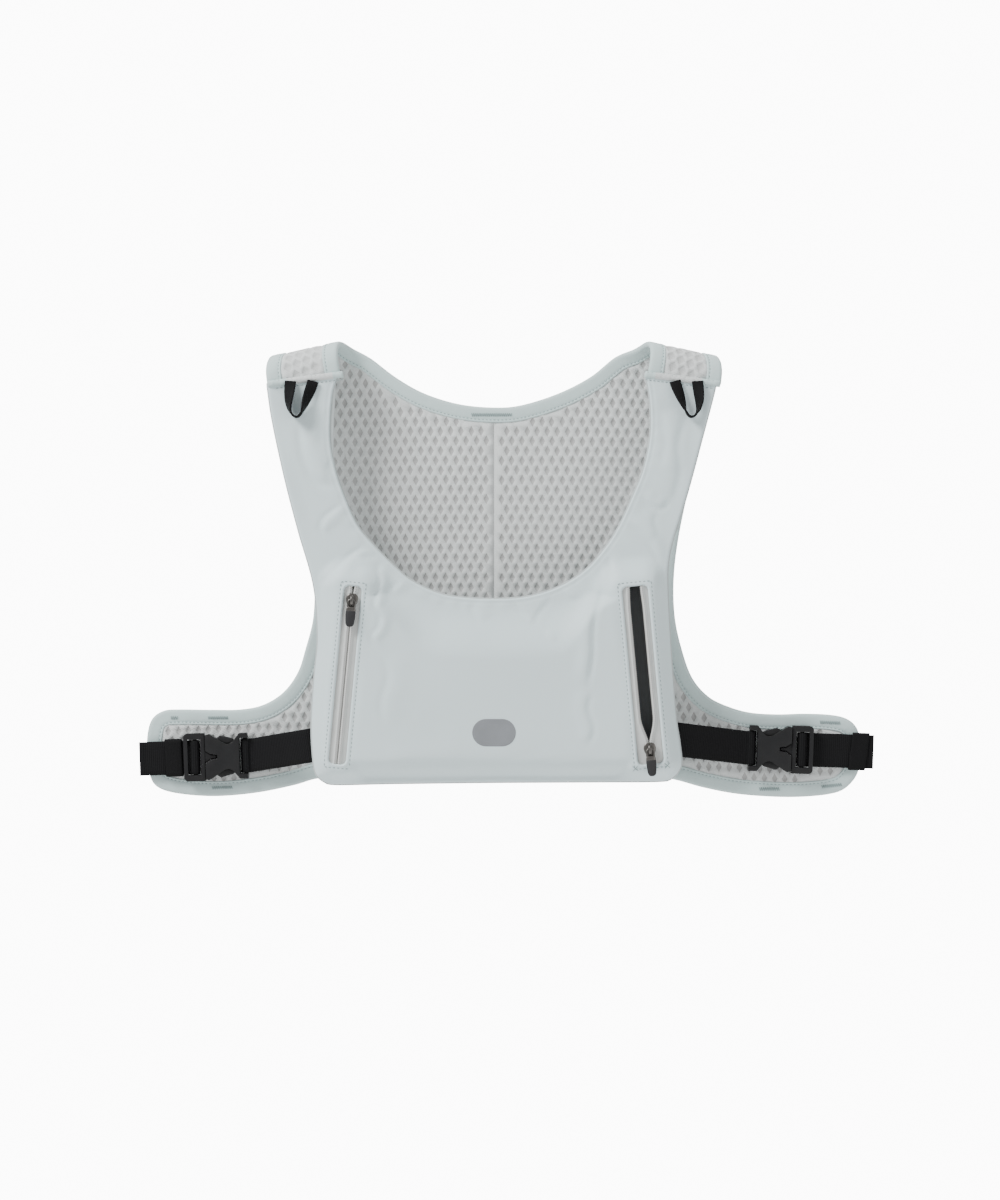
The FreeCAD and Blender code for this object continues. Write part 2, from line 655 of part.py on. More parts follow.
for name, side, window, gap in SIDES:
    tapes = new_body(f"{name}_zip_tapes")
    pad(tapes, FRONT, "tape_pair", -tape_back, size.tape_wall, [
        zip_loop(side, -gap / 2 - size.tape_wide, -gap / 2, -size.tape_spare,
                 size.zip_long + size.tape_spare),
        zip_loop(side, gap / 2, gap / 2 + size.tape_wide, -size.tape_spare,
                 size.zip_long + size.tape_spare),
    ])
    coils = new_body(f"{name}_zip_coils")
    pad(coils, FRONT, "coil_pair", -pocket_front, size.coil_high, [
        zip_loop(side, -gap / 2 - size.coil_wide, -gap / 2, size.stop_long,
                 size.zip_long - size.stop_long),
        zip_loop(side, gap / 2, gap / 2 + size.coil_wide, size.stop_long,
                 size.zip_long - size.stop_long),
    ])
    down = slider_room if name == "left" else size.zip_long - slider_room
    x, z = zip_point(side, zero, down)
    lean = -size.zip_tilt * side

    slider = new_body(f"{name}_zip_slider")
    half_wide = size.slider_wide / 2
    half_long = size.slider_long / 2
    pad(slider, FRONT, "back_plate", -slider_back, size.slider_plate,
        [box_loop(-half_wide, half_wide, -half_long, half_long)])
    pad(slider, FRONT, "post", -slider_back, slider_back - slider_front,
        [box_loop(-post_wide / 2, post_wide / 2, zero, half_long * size.post_share)])
    pad(slider, FRONT, "front_plate", -slider_front, size.slider_plate, [[
        line(-half_wide * size.slider_tail, -half_long),
        line(half_wide * size.slider_tail, -half_long),
        line(half_wide, half_long * size.slider_cheek),
        line(half_wide, half_long),
        line(-half_wide, half_long),
        line(-half_wide, half_long * size.slider_cheek),
    ]])
    pad(slider, FRONT, "bridge", -slider_front, size.slider_plate + size.bridge_rise * 2,
        [box_loop(-size.bridge_wide / 2, size.bridge_wide / 2,
                  -size.bridge_rise, size.bridge_rise)])
    cut(slider, SIDE, "bridge_eye", -size.bridge_wide, size.bridge_wide * 2,
        [slot_loop(hinge_y, zero, size.pin_wide * size.eye_wide, size.pin_wide * size.eye_high)])
    place(slider, x, zero, z, lean)

    pull = new_body(f"{name}_zip_pull")
    fork_in = size.bridge_wide / 2 + size.running_gap
    fork_out = fork_in + size.pull_wall
    crotch = size.bridge_rise * size.crotch_share + size.running_gap
    pad(pull, SIDE, "pin", -fork_out, fork_out * 2,
        [box_loop(hinge_y - size.pin_wide / 2, hinge_y + size.pin_wide / 2,
                  -size.pin_wide / 2, size.pin_wide / 2)])
    plate_back = hinge_y + size.pull_wall / 2
    pad(pull, FRONT, "pull_plate", -plate_back, size.pull_wall, [[
        line(-fork_out, size.pin_wide),
        line(-fork_out, -size.pull_metal * size.pull_neck),
        line(-size.pull_wide / 2, -size.pull_metal),
        line(size.pull_wide / 2, -size.pull_metal),
        line(fork_out, -size.pull_metal * size.pull_neck),
        line(fork_out, size.pin_wide),
        line(fork_in, size.pin_wide),
        line(fork_in, -crotch),
        line(-fork_in, -crotch),
        line(-fork_in, size.pin_wide),
    ]])
    place(pull, x, zero, z, lean)

    grip = new_body(f"{name}_pull_grip")
    half_grip = size.pull_wide / 2
    grip_round = half_grip * size.grip_corner
    pad(grip, FRONT, "grip_body", -plate_back, size.pull_wall, [[
        line(-half_grip, -size.pull_metal),
        line(-half_grip, -size.pull_long + grip_round),
        arc(-half_grip + grip_round, -size.pull_long, grip_round, -1),
        line(half_grip - grip_round, -size.pull_long),
        arc(half_grip, -size.pull_long + grip_round, grip_round, -1),
        line(half_grip, -size.pull_metal),
    ]])
    place(grip, x, zero, z, lean)

# ---------------------------------------------------------------- buckles and straps

plug_end = size.housing_half + size.running_gap + size.plug_long
buckle_back = mesh_front - size.housing_thick / 2 - size.buckle_gap
anchor_left = size.wing_left - size.buckle_left - size.anchor_left
anchor_right = size.wing_right - size.buckle_right - size.anchor_right

BUCKLES = [
    ("left", -1, size.buckle_left, size.buckle_left_down, size.web_left_down,
     plug_end + size.tail_left, anchor_left, plug_end + size.keeper_left, binding_front),
    ("right", 1, size.buckle_right, size.buckle_right_down, size.web_right_down,
     plug_end + size.tail_right, anchor_right, plug_end + size.keeper_right, mesh_front),
]

half_thick = size.housing_thick / 2
half_high = size.housing_high / 2
cavity = half_thick - size.housing_wall
mouth = size.housing_half
half_web = size.web_wide / 2
slot_half = half_web + size.running_gap * 2
bar_half = size.bar_thick / 2
bar_in = -mouth + size.bar_wide
slot_end = bar_in + size.web_wall + size.running_gap * 4
plug_root = mouth + size.running_gap
lobe = half_high * size.lobe_share


def housing_outline():
    waist = size.waist_high / 2
    return [
        line(mouth, -half_high * size.mouth_share),
        line(mouth, half_high * size.mouth_share),
        arc(mouth * size.shoulder_share, half_high, size.housing_round, -1),
        line(mouth * size.waist_near, waist * size.waist_near_high),
        arc(-mouth * size.waist_far, waist * size.waist_far_high, size.waist_round, 1),
        line(-mouth * size.ear_share, half_high),
        line(-mouth, half_high),
        line(-mouth, -half_high),
        line(-mouth * size.ear_share, -half_high),
        line(-mouth * size.waist_far, -waist * size.waist_far_high),
        arc(mouth * size.waist_near, -waist * size.waist_near_high, size.waist_round, 1),
        line(mouth * size.shoulder_share, -half_high),
    ]


def notch_loop(grow):
    """The funnel in the housing's mouth, made larger by grow."""
    return [
        line(mouth + size.cut_spill, -size.notch_wide - grow),
        line(mouth + size.cut_spill, size.notch_wide + grow),
        line(mouth - size.notch_long * size.notch_bend, size.notch_wide * size.notch_bend_wide + grow),
        line(mouth - size.notch_long - grow, size.notch_wide * size.notch_tip_wide + grow),
        line(mouth - size.notch_long - grow, -size.notch_wide * size.notch_tip_wide - grow),
        line(mouth - size.notch_long * size.notch_bend, -size.notch_wide * size.notch_bend_wide - grow),
    ]


def ring_loops(x_low, x_high, reach):
    """Section of webbing wrapped round a bar."""
    wall = size.web_wall
    return [
        box_loop(x_low - wall, x_high + wall, -reach - wall, reach + wall),
        box_loop(x_low, x_high, -reach, reach),
    ]


def arm_loop(up):
    """A latch arm seen from the front: a slim root that widens into a curved finger pad."""
    root_in = half_high * size.arm_root
    root_out = root_in + size.arm_wide
    pad_out = lobe
    return [
        line(mouth, root_in * up),
        line(mouth, root_out * up),
        line(mouth * size.arm_bend, (root_out + size.arm_wide * size.arm_step) * up),
        line(mouth * size.arm_pad, pad_out * up),
        line(-mouth * size.arm_pad, (pad_out - size.arm_wide * size.arm_pad_fall) * up),
        line(-mouth * size.arm_tip, (pad_out - size.arm_wide * size.arm_tip_fall) * up),
        line(-mouth * size.arm_pad, (root_in + size.arm_wide * size.arm_heel) * up),
        line(mouth * size.arm_heel, root_in * up),
    ]


for name, side, across, down, root_down, tail_end, anchor_end, keeper_start, anchor_back in BUCKLES:
    turned = size.buckle_tilt if side > 0 else as_size(180) - size.buckle_tilt
    spot = (across * side, buckle_back, -down)

    housing = new_body(f"{name}_buckle_housing")
    pad(housing, FRONT, "housing_block", -half_thick, size.housing_thick, [housing_outline()])
    cut(housing, FRONT, "latch_cavity", -cavity, cavity * 2,
        [box_loop(-mouth * size.arm_heel, mouth + size.cut_spill,
                  -lobe + size.housing_wall, lobe - size.housing_wall)])
    cut(housing, FRONT, "mouth_notch", -half_thick - size.cut_spill,
        size.housing_thick + size.cut_spill * 2,
        [notch_loop(size.running_gap)])
    cut(housing, FRONT, "strap_slot", -half_thick - size.cut_spill,
        size.housing_thick + size.cut_spill * 2,
        [box_loop(bar_in, slot_end, -slot_half, slot_half)])
    for face, height in (("front", bar_half), ("back", -half_thick - size.cut_spill)):
        cut(housing, FRONT, f"bar_{face}", height, half_thick + size.cut_spill - bar_half,
            [box_loop(-mouth - size.cut_spill, bar_in + size.cut_lap, -slot_half, slot_half)])
    place(housing, *spot, turned)

    wrap = new_body(f"{name}_housing_webbing")
    pad(wrap, FLAT, "webbing_ring", -half_web, size.web_wide,
        [*ring_loops(-mouth - size.running_gap, bar_in + size.running_gap,
                     bar_half + size.running_gap)])
    place(wrap, *spot, turned)

    plug = new_body(f"{name}_buckle_plug")
    half_plug = size.plug_high / 2
    plug_y = size.plug_thick / 2
    pad(plug, FRONT, "plug_frame", -plug_y, size.plug_thick, [[
        line(plug_root, -half_plug),
        line(plug_end - size.housing_round, -half_plug),
        arc(plug_end, -half_plug + size.housing_round, size.housing_round, -1),
        line(plug_end, half_plug - size.housing_round),
        arc(plug_end - size.housing_round, half_plug, size.housing_round, -1),
        line(plug_root, half_plug),
    ]])
    window_in = plug_root + size.bar_wide
    window_out = plug_end - size.bar_wide
    cut(plug, FRONT, "strap_window", -plug_y - size.cut_spill,
        size.plug_thick + size.cut_spill * 2,
        [box_loop(window_in, window_out, -slot_half, slot_half)])
    bar_start = window_in + size.bar_wide
    pad(plug, FRONT, "middle_bar", -bar_half, size.bar_thick,
        [box_loop(bar_start, bar_start + size.bar_wide, -slot_half, slot_half)])
    cut(plug, FRONT, "outer_bar_relief", -plug_y - size.cut_spill,
        plug_y + size.cut_spill + bar_half,
        [box_loop(window_out - size.cut_lap, plug_end + size.cut_spill, -slot_half, slot_half)])
    tongue_bend = mouth - size.notch_long * size.notch_bend
    tongue_tip = mouth - size.notch_long + size.running_gap
    bend_half = size.notch_wide * size.notch_bend_wide - size.running_gap
    tip_half = size.notch_wide * size.notch_tip_wide - size.cut_lap
    pad(plug, FRONT, "guide_tongue", -cavity + size.running_gap, (cavity - size.running_gap) * 2,
        [[
            line(plug_root, -size.notch_wide + size.running_gap),
            line(plug_root, size.notch_wide - size.running_gap),
            line(tongue_bend, bend_half),
            line(tongue_tip, tip_half),
            line(tongue_tip, -tip_half),
            line(tongue_bend, -bend_half),
        ]])
    place(plug, *spot, turned)

    for arm_name, up in (("upper", 1), ("lower", -1)):
        arm = new_body(f"{name}_{arm_name}_latch_arm")
        pad(arm, FRONT, "arm_bar", -size.arm_thick / 2, size.arm_thick,
            [arm_loop(up if side > 0 else -up)])
        place(arm, *spot, turned)

    loop_in = bar_start - size.running_gap
    loop_out = bar_start + size.bar_wide + size.running_gap
    bar_loop = new_body(f"{name}_plug_webbing")
    pad(bar_loop, FLAT, "webbing_ring", -half_web, size.web_wide,
        [*ring_loops(loop_in, loop_out, bar_half + size.running_gap)])
    place(bar_loop, *spot, turned)

    layer_front = bar_half + size.running_gap
    layer_middle = layer_front + size.web_wall
    layer_back = layer_middle + size.web_wall
    ring_out = loop_out + size.web_wall
    tail = new_body(f"{name}_strap_tail")
    pad(tail, FLAT, "tail_layer", -half_web, size.web_wide,
        [box_loop(ring_out, tail_end, layer_front, layer_middle)])
    place(tail, *spot, turned)

    anchor = new_body(f"{name}_strap_anchor")
    wing_face = anchor_back - buckle_back
    sewn = anchor_end - size.anchor_sewn
    pad(anchor, FLAT, "anchor_layer", -half_web, size.web_wide, [[
        line(bar_start, layer_middle),
        line(anchor_end, layer_middle),
        line(anchor_end, wing_face),
        line(sewn, wing_face),
        line(sewn - size.web_wall, layer_back),
        line(bar_start, layer_back),
    ]])
    place(anchor, *spot, turned)

    keeper = new_body(f"{name}_keeper")
    keeper_front = layer_front - size.running_gap
    keeper_back = (layer_back if name == "left" else layer_middle) + size.running_gap
    keeper_in = half_web + size.running_gap
    keeper_out = keeper_in + size.keeper_wall
    pad(keeper, SIDE, "keeper_band", keeper_start, size.keeper_wide, [
        box_loop(keeper_front - size.keeper_wall, keeper_back + size.keeper_wall,
                 -keeper_out, keeper_out),
        box_loop(keeper_front, keeper_back, -keeper_in, keeper_in),
    ])
    place(keeper, *spot, turned)

    web = new_body(f"{name}_front_webbing")
    web_root = size.hem_half
    web_run = across - mouth - size.web_wall - size.running_gap * 2 - web_root
    fall = down - root_down - mouth * sine(size.buckle_tilt)
    droop = arctangent(fall / web_run)
    reach = root(web_run * web_run + fall * fall) - half_web * sine(droop)
    web_y = buckle_back - bar_half
    pad(web, FLAT, "webbing_run", -half_web, size.web_wide, [[
        line(-size.web_lap, lining_back),
        line(size.web_wall, lining_back),
        line(reach, web_y),
        line(reach, web_y + size.web_wall),
        line(0, lining_back + size.web_wall),
        line(-size.web_lap, lining_back + size.web_wall),
    ]])
    place(web, web_root * side, zero, -root_down, droop if side > 0 else as_size(180) - droop)

# ---------------------------------------------------------------- bartacks

tacks = new_body("bartacks")
TACKS = [
    (-164.0, size.wing_top_down, 1),
    (-162.0, size.wing_low_down, -1),
    (163.5, size.wing_low_down, -1),
    (200.5, size.wing_low_down, -1),
    (199.5, size.wing_top_down, 1),
]
tack_half = size.tack_long / 2
tack_rise = size.tack_high / 2
middle = size.back_neck_down + size.binding_wide / 2
loops = [box_loop(-tack_half * 2, tack_half * 2, -middle - tack_rise, -middle + tack_rise)]
for tack_x, edge, step in TACKS:
    level = -(edge + size.binding_wide / 2 * step)
    spot_x = as_size(tack_x)
    loops.append(box_loop(spot_x - tack_half, spot_x + tack_half,
                          level - tack_rise, level + tack_rise))
pad(tacks, FRONT, "tack_bars", -binding_front, size.tack_proud, loops)

# ---------------------------------------------------------------- checks and files

document.recompute()
for thing in document.Objects:
    if "Invalid" in thing.State or "Error" in thing.State:
        raise RuntimeError(f"{thing.Label} did not build: {thing.State}")

os.makedirs("parts", exist_ok=True)
bodies = [thing for thing in document.Objects if thing.TypeId == "PartDesign::Body"]
for body in bodies:
    if body.Shape.isNull() or not body.Shape.isValid():
        raise RuntimeError(f"{body.Label} has no valid shape")
for body in bodies:
    body.Shape.exportStep(os.path.join("parts", f"{body.Label}.step"))
print(len(bodies), "nodes")
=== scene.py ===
import math

import bmesh
import bpy
import numpy as np
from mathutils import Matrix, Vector
from mathutils.geometry import delaunay_2d_cdt


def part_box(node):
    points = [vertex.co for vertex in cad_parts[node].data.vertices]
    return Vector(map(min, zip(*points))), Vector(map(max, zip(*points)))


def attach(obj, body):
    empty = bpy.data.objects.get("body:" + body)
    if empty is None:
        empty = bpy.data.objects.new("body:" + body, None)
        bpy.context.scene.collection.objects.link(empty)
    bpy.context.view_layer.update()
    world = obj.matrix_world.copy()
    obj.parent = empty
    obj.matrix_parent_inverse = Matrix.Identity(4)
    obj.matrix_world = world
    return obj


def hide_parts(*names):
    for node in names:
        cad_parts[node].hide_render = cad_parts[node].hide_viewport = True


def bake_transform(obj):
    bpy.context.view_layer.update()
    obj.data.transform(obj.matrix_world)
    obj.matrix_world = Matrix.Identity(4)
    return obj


# A running phone vest: stretch front with a zipped pocket, spacer-mesh back with two wings, bound
# edges, webbing straps and two side-release buckles.  Metres, +Z up, the front faces -Y.

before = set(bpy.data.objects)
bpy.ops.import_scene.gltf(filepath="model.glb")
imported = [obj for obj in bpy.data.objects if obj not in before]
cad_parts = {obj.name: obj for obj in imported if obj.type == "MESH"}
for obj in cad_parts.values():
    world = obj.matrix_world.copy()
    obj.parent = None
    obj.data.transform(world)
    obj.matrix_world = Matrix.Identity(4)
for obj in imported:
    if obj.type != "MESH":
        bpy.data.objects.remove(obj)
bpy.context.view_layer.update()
noise = np.random.default_rng(7)

MM = 0.001
LEFT, RIGHT = -1, 1
SIDE_NAMES = {LEFT: "left", RIGHT: "right"}


def depth_of(node):
    """The front and back of a CAD node, in millimetres."""
    low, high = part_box(node)
    return low[1] / MM, high[1] / MM


SHELL_FRONT = depth_of("front_shell")[0]
LINING_FRONT, LINING_BACK = depth_of("front_lining")
MESH_FRONT, MESH_BACK = depth_of("left_back_mesh")
BINDING_FRONT, BINDING_BACK = depth_of("left_edge_binding")
TAPE_FRONT, TAPE_BACK = depth_of("left_zip_tapes")
FOLD_RADIUS = (MESH_FRONT + MESH_BACK) / 2
MESH_HALF = (MESH_BACK - MESH_FRONT) / 2
BINDING_HALF = (BINDING_BACK - BINDING_FRONT) / 2
BINDING_WIDE = 9.0
STRAP_DEPTH = -15.4      # y of the shoulder straps' outer face
LINING_DEPTH = -13.6     # y that the front cloth's back stops at
CLOTH_WALL = 1.25

# ---------------------------------------------------------------- curves in the plane


def smooth(points, step=2.0, closed=False):
    """A Catmull-Rom curve through the points, sampled about every step millimetres."""
    points = np.array(points, float)
    if closed:
        ring = np.vstack([points[-1], points, points[0], points[1]])
    else:
        ring = np.vstack([points[0] * 2 - points[1], points, points[-1] * 2 - points[-2]])
    rows = []
    for i in range(1, len(ring) - 2):
        a, b, c, d = ring[i - 1:i + 3]
        count = max(1, int(np.linalg.norm(c - b) / step + 0.5))
        t = (np.arange(count) / count)[:, None]
        rows.append(0.5 * (2 * b + (c - a) * t + (2 * a - 5 * b + 4 * c - d) * t ** 2
                           + (3 * b - a - 3 * c + d) * t ** 3))
    if not closed:
        rows.append(points[-1:])
    return np.vstack(rows)


def run_along(path):
    """How far along the path each of its points is."""
    return np.concatenate([[0], np.cumsum(np.linalg.norm(np.diff(path, axis=0), axis=1))])


def resample(path, count):
    """The same path with a given number of evenly spaced points."""
    run = run_along(path)
    at = np.linspace(0, run[-1], count)
    return np.stack([np.interp(at, run, path[:, k]) for k in range(path.shape[1])], axis=1)


def spaced(path, step):
    run = np.linalg.norm(np.diff(path, axis=0), axis=1).sum()
    return resample(path, max(2, int(run / step + 0.5) + 1))


def closed_loop(rows, step):
    """An evenly spaced loop through the rows and back to the first."""
    rows = np.array(rows, float)
    return spaced(np.vstack([rows, rows[:1]]), step)[:-1]


def rounded_box(half_wide, half_high, corner, step=0.5):
    """A rounded rectangle about the origin, as (first, second) offsets."""
    rows = []
    for cx, cz, start in ((half_wide - corner, half_high - corner, 0),
                          (-half_wide + corner, half_high - corner, 90),
                          (-half_wide + corner, -half_high + corner, 180),
                          (half_wide - corner, -half_high + corner, 270)):
        for turn in range(0, 91, 15):
            angle = math.radians(start + turn)
            rows.append((cx + corner * math.cos(angle), cz + corner * math.sin(angle)))
    return closed_loop(rows, step)


def nearest(points, path, closed=True):
    """Distance from each point to the path, the nearest place on it, and which stretch it is."""
    a = path
    b = np.roll(path, -1, axis=0)
    if not closed:
        a, b = path[:-1], path[1:]
    best = np.full(len(points), 1e9)
    place = np.zeros((len(points), 2))
    index = np.zeros(len(points), int)
    edge = b - a
    size = np.maximum((edge ** 2).sum(1), 1e-12)
    for start in range(0, len(points), 4000):
        p = points[start:start + 4000]
        t = np.clip(((p[:, None] - a) * edge).sum(2) / size, 0, 1)
        near = a + edge * t[:, :, None]
        gap = np.linalg.norm(p[:, None] - near, axis=2)
        pick = gap.argmin(1)
        rows = np.arange(len(p))
        best[start:start + 4000] = gap[rows, pick]
        place[start:start + 4000] = near[rows, pick]
        index[start:start + 4000] = pick
    return best, place, index


def inside(points, loop):
    x, z = points[:, 0], points[:, 1]
    hit = np.zeros(len(points), bool)
    for (ax, az), (bx, bz) in zip(loop, np.roll(loop, -1, axis=0)):
        if az == bz:
            continue
        cross = (az > z) != (bz > z)
        hit ^= cross & (x < (bx - ax) * (z - az) / (bz - az) + ax)
    return hit


def within(points, loop, holes):
    """Which points are inside the loop and outside its holes."""
    keep = inside(points, loop)
    for hole in holes:
        keep &= ~inside(points, hole)
    return keep


def sideways(path, closed=False):
    """Unit vectors to the left of the path."""
    if closed:
        along = np.roll(path, -1, axis=0) - np.roll(path, 1, axis=0)
    else:
        along = np.gradient(path, axis=0)
    along /= np.maximum(np.linalg.norm(along, axis=1, keepdims=True), 1e-9)
    return np.stack([-along[:, 1], along[:, 0]], axis=1)


def ease(value):
    value = np.clip(value, 0, 1)
    return value * value * (3 - 2 * value)


# ---------------------------------------------------------------- making pieces


def turn_outwards(thing, weld=True):
    """Make every face point outwards, after joining points that meet if weld is set."""
    form = bmesh.new()
    form.from_mesh(thing.data)
    if weld:
        bmesh.ops.remove_doubles(form, verts=form.verts, dist=1e-6)
    bmesh.ops.recalc_face_normals(form, faces=form.faces)
    form.to_mesh(thing.data)
    form.free()


def piece(name, verts, faces, material, body="vest", replaces=(), slot=None):
    """A mesh object from points in millimetres, riding on a body."""
    mesh = bpy.data.meshes.new(name)
    mesh.from_pydata((np.array(verts, float) * MM).tolist(), [], faces)
    mesh.validate()
    thing = bpy.data.objects.new(name, mesh)
    bpy.context.scene.collection.objects.link(thing)
    mesh.materials.append(material)
    turn_outwards(thing, weld=False)
    mesh.polygons.foreach_set("use_smooth", [True] * len(mesh.polygons))
    if body:
        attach(thing, body)
    if replaces:
        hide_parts(*replaces)
    return thing


def set_points(thing, name, values):
    layer = thing.data.attributes.new(name, "FLOAT", "POINT")
    layer.data.foreach_set("value", np.array(values, np.float32))


def modifier(thing, kind, **values):
    """Add a modifier with these settings and apply it."""
    bpy.ops.object.select_all(action="DESELECT")
    bpy.context.view_layer.objects.active = thing
    thing.select_set(True)
    added = thing.modifiers.new(kind.title(), kind)
    for key, value in values.items():
        setattr(added, key, value)
    bpy.ops.object.modifier_apply(modifier=added.name)
    thing.select_set(False)
    return thing


def tube_faces(count, sides, first=0, closed=False, caps=True):
    """Faces round a tube of count rings of sides points, with its two ends capped."""
    faces = []
    for i in range(count if closed else count - 1):
        here, there = i * sides, (i + 1) % count * sides
        for k in range(sides):
            after = (k + 1) % sides
            faces.append([first + j for j in (here + k, here + after, there + after, there + k)])
    if caps and not closed:
        faces.append([first + k for k in reversed(range(sides))])
        faces.append([first + (count - 1) * sides + k for k in range(sides)])
    return faces


def drop_loose(count, faces):
    """Which of count points the faces use, and the faces numbered by those points."""
    used = np.unique(np.concatenate([np.array(f) for f in faces]))
    renumber = -np.ones(count, int)
    renumber[used] = np.arange(len(used))
    return used, [[int(renumber[i]) for i in f] for f in faces]


def sheet_mesh(loop, holes, spacing, rings):
    """Triangles that fill a loop with holes, with extra rows of points near every edge."""
    edges = []
    points = []
    loops = [loop] + list(holes)
    for path in loops:
        first = len(points)
        points.extend(path.tolist())
        edges.extend((first + i, first + (i + 1) % len(path)) for i in range(len(path)))
    border = np.array(points)
    low, high = loop.min(0), loop.max(0)
    xs = np.arange(low[0], high[0], spacing)
    zs = np.arange(low[1], high[1], spacing * 0.87)
    grid = np.array([(x + (row % 2) * spacing / 2, z) for row, z in enumerate(zs) for x in xs])
    grid = grid[within(grid, loop, holes)]
    gap = np.min([nearest(grid, path)[0] for path in loops], axis=0)
    grid = grid[gap > rings[-1] + spacing * 0.6]
    for number, path in enumerate(loops):
        side = sideways(path, True)
        middle = path + side * 0.01
        turn = 1 if inside(middle[:1], path)[0] == (number == 0) else -1
        for ring in rings:
            row = path + side * ring * turn
            keep = within(row, loop, holes)
            gap = np.min([nearest(row, other)[0] for other in loops], axis=0)
            row = row[keep & (gap > ring * 0.93)]
            grid = np.vstack([grid, row])
    points = np.vstack([border, grid])
    verts, _, faces, _, _, _ = delaunay_2d_cdt([Vector(p) for p in points], edges, [], 0, 1e-5)
    verts = np.array(verts)
    centre = np.array([verts[f].mean(0) for f in faces])
    faces = [f for f, k in zip(faces, within(centre, loop, holes)) if k]
    used, faces = drop_loose(len(verts), faces)
    return verts[used], faces


def closed_sheet(flat, faces, front, back):
    """Front and back faces over the same triangles, joined round every open edge."""
    count = len(flat)
    verts = np.vstack([front, back])
    seen = {}
    for face in faces:
        for a, b in zip(face, face[1:] + face[:1]):
            seen[(a, b)] = True
    rim = [(a, b) for a, b in seen if (b, a) not in seen]
    whole = [list(f) for f in faces]
    whole += [[i + count for i in reversed(f)] for f in faces]
    whole += [[b, a, a + count, b + count] for a, b in rim]
    return verts, whole


# ---------------------------------------------------------------- materials


def link(tree, a, b):
    tree.links.new(a, b)


def new_group(name, inputs, outputs):
    """An effect with named inputs, each (name, kind, default), and named outputs."""
    tree = bpy.data.node_groups.new(name, "ShaderNodeTree")
    for label, kind, value in inputs:
        socket = tree.interface.new_socket(label, in_out="INPUT", socket_type=kind)
        socket.default_value = value
    for label, kind in outputs:
        tree.interface.new_socket(label, in_out="OUTPUT", socket_type=kind)
    return tree, tree.nodes.new("NodeGroupInput"), tree.nodes.new("NodeGroupOutput")


def math_node(tree, operation, a, b=None, c=None, clamp=False):
    node = tree.nodes.new("ShaderNodeMath")
    node.operation = operation
    node.use_clamp = clamp
    for socket, value in zip(node.inputs, (a, b, c)):
        if value is None:
            continue
        if isinstance(value, (int, float)):
            socket.default_value = value
        else:
            link(tree, value, socket)
    return node.outputs[0]


def mix_colour(tree, factor, a, b, blend="MIX"):
    node = tree.nodes.new("ShaderNodeMix")
    node.data_type = "RGBA"
    node.blend_type = blend
    sockets = [node.inputs["Factor"], node.inputs[6], node.inputs[7]]
    for socket, value in zip(sockets, (factor, a, b)):
        if isinstance(value, (int, float, tuple)):
            socket.default_value = value
        else:
            link(tree, value, socket)
    return node.outputs[2]


FLOAT, COLOUR, VECTOR = "NodeSocketFloat", "NodeSocketColor", "NodeSocketVector"


def make_tone_group():
    """Slow, soft changes of shade over a piece."""
    tree, given, made = new_group(
        "soft_tone",
        [("Colour", COLOUR, (0.5, 0.5, 0.5, 1)), ("Scale", FLOAT, 20.0), ("Amount", FLOAT, 0.05)],
        [("Colour", COLOUR), ("Mask", FLOAT)])
    place = tree.nodes.new("ShaderNodeTexCoord")
    cloud = tree.nodes.new("ShaderNodeTexNoise")
    cloud.inputs["Detail"].default_value = 3.0
    link(tree, place.outputs["Object"], cloud.inputs["Vector"])
    link(tree, given.outputs["Scale"], cloud.inputs["Scale"])
    centred = math_node(tree, "SUBTRACT", cloud.outputs["Fac"], 0.5)
    swing = math_node(tree, "MULTIPLY", centred, given.outputs["Amount"])
    factor = math_node(tree, "ADD", swing, 1.0)
    shade = tree.nodes.new("ShaderNodeVectorMath")
    shade.operation = "SCALE"
    link(tree, given.outputs["Colour"], shade.inputs[0])
    link(tree, factor, shade.inputs["Scale"])
    link(tree, shade.outputs[0], made.inputs["Colour"])
    link(tree, cloud.outputs["Fac"], made.inputs["Mask"])
    return tree


def make_weave_group():
    """Crossing threads: a height and a mask of the gaps between them."""
    tree, given, made = new_group(
        "weave",
        [("Across", FLOAT, 2000.0), ("Along", FLOAT, 2000.0), ("Twist", FLOAT, 0.0)],
        [("Height", FLOAT), ("Gap", FLOAT)])
    place = tree.nodes.new("ShaderNodeTexCoord")
    split = tree.nodes.new("ShaderNodeSeparateXYZ")
    link(tree, place.outputs["Object"], split.inputs[0])
    lean = math_node(tree, "MULTIPLY", split.outputs["X"], given.outputs["Twist"])
    level = math_node(tree, "ADD", split.outputs["Z"], lean)
    wave_x = math_node(tree, "SINE", math_node(tree, "MULTIPLY", split.outputs["X"],
                                               given.outputs["Across"]))
    wave_z = math_node(tree, "SINE", math_node(tree, "MULTIPLY", level, given.outputs["Along"]))
    both = math_node(tree, "MULTIPLY", wave_x, wave_z)
    height = math_node(tree, "MULTIPLY_ADD", both, 0.5, 0.5)
    gap = math_node(tree, "POWER", height, 3.0)
    link(tree, height, made.inputs["Height"])
    link(tree, gap, made.inputs["Gap"])
    return tree


TONE = make_tone_group()
WEAVE = make_weave_group()


def use_group(tree, group, **values):
    node = tree.nodes.new("ShaderNodeGroup")
    node.node_tree = group
    for label, value in values.items():
        socket = node.inputs[label]
        if isinstance(value, (int, float, tuple)):
            socket.default_value = value
        else:
            link(tree, value, socket)
    return node


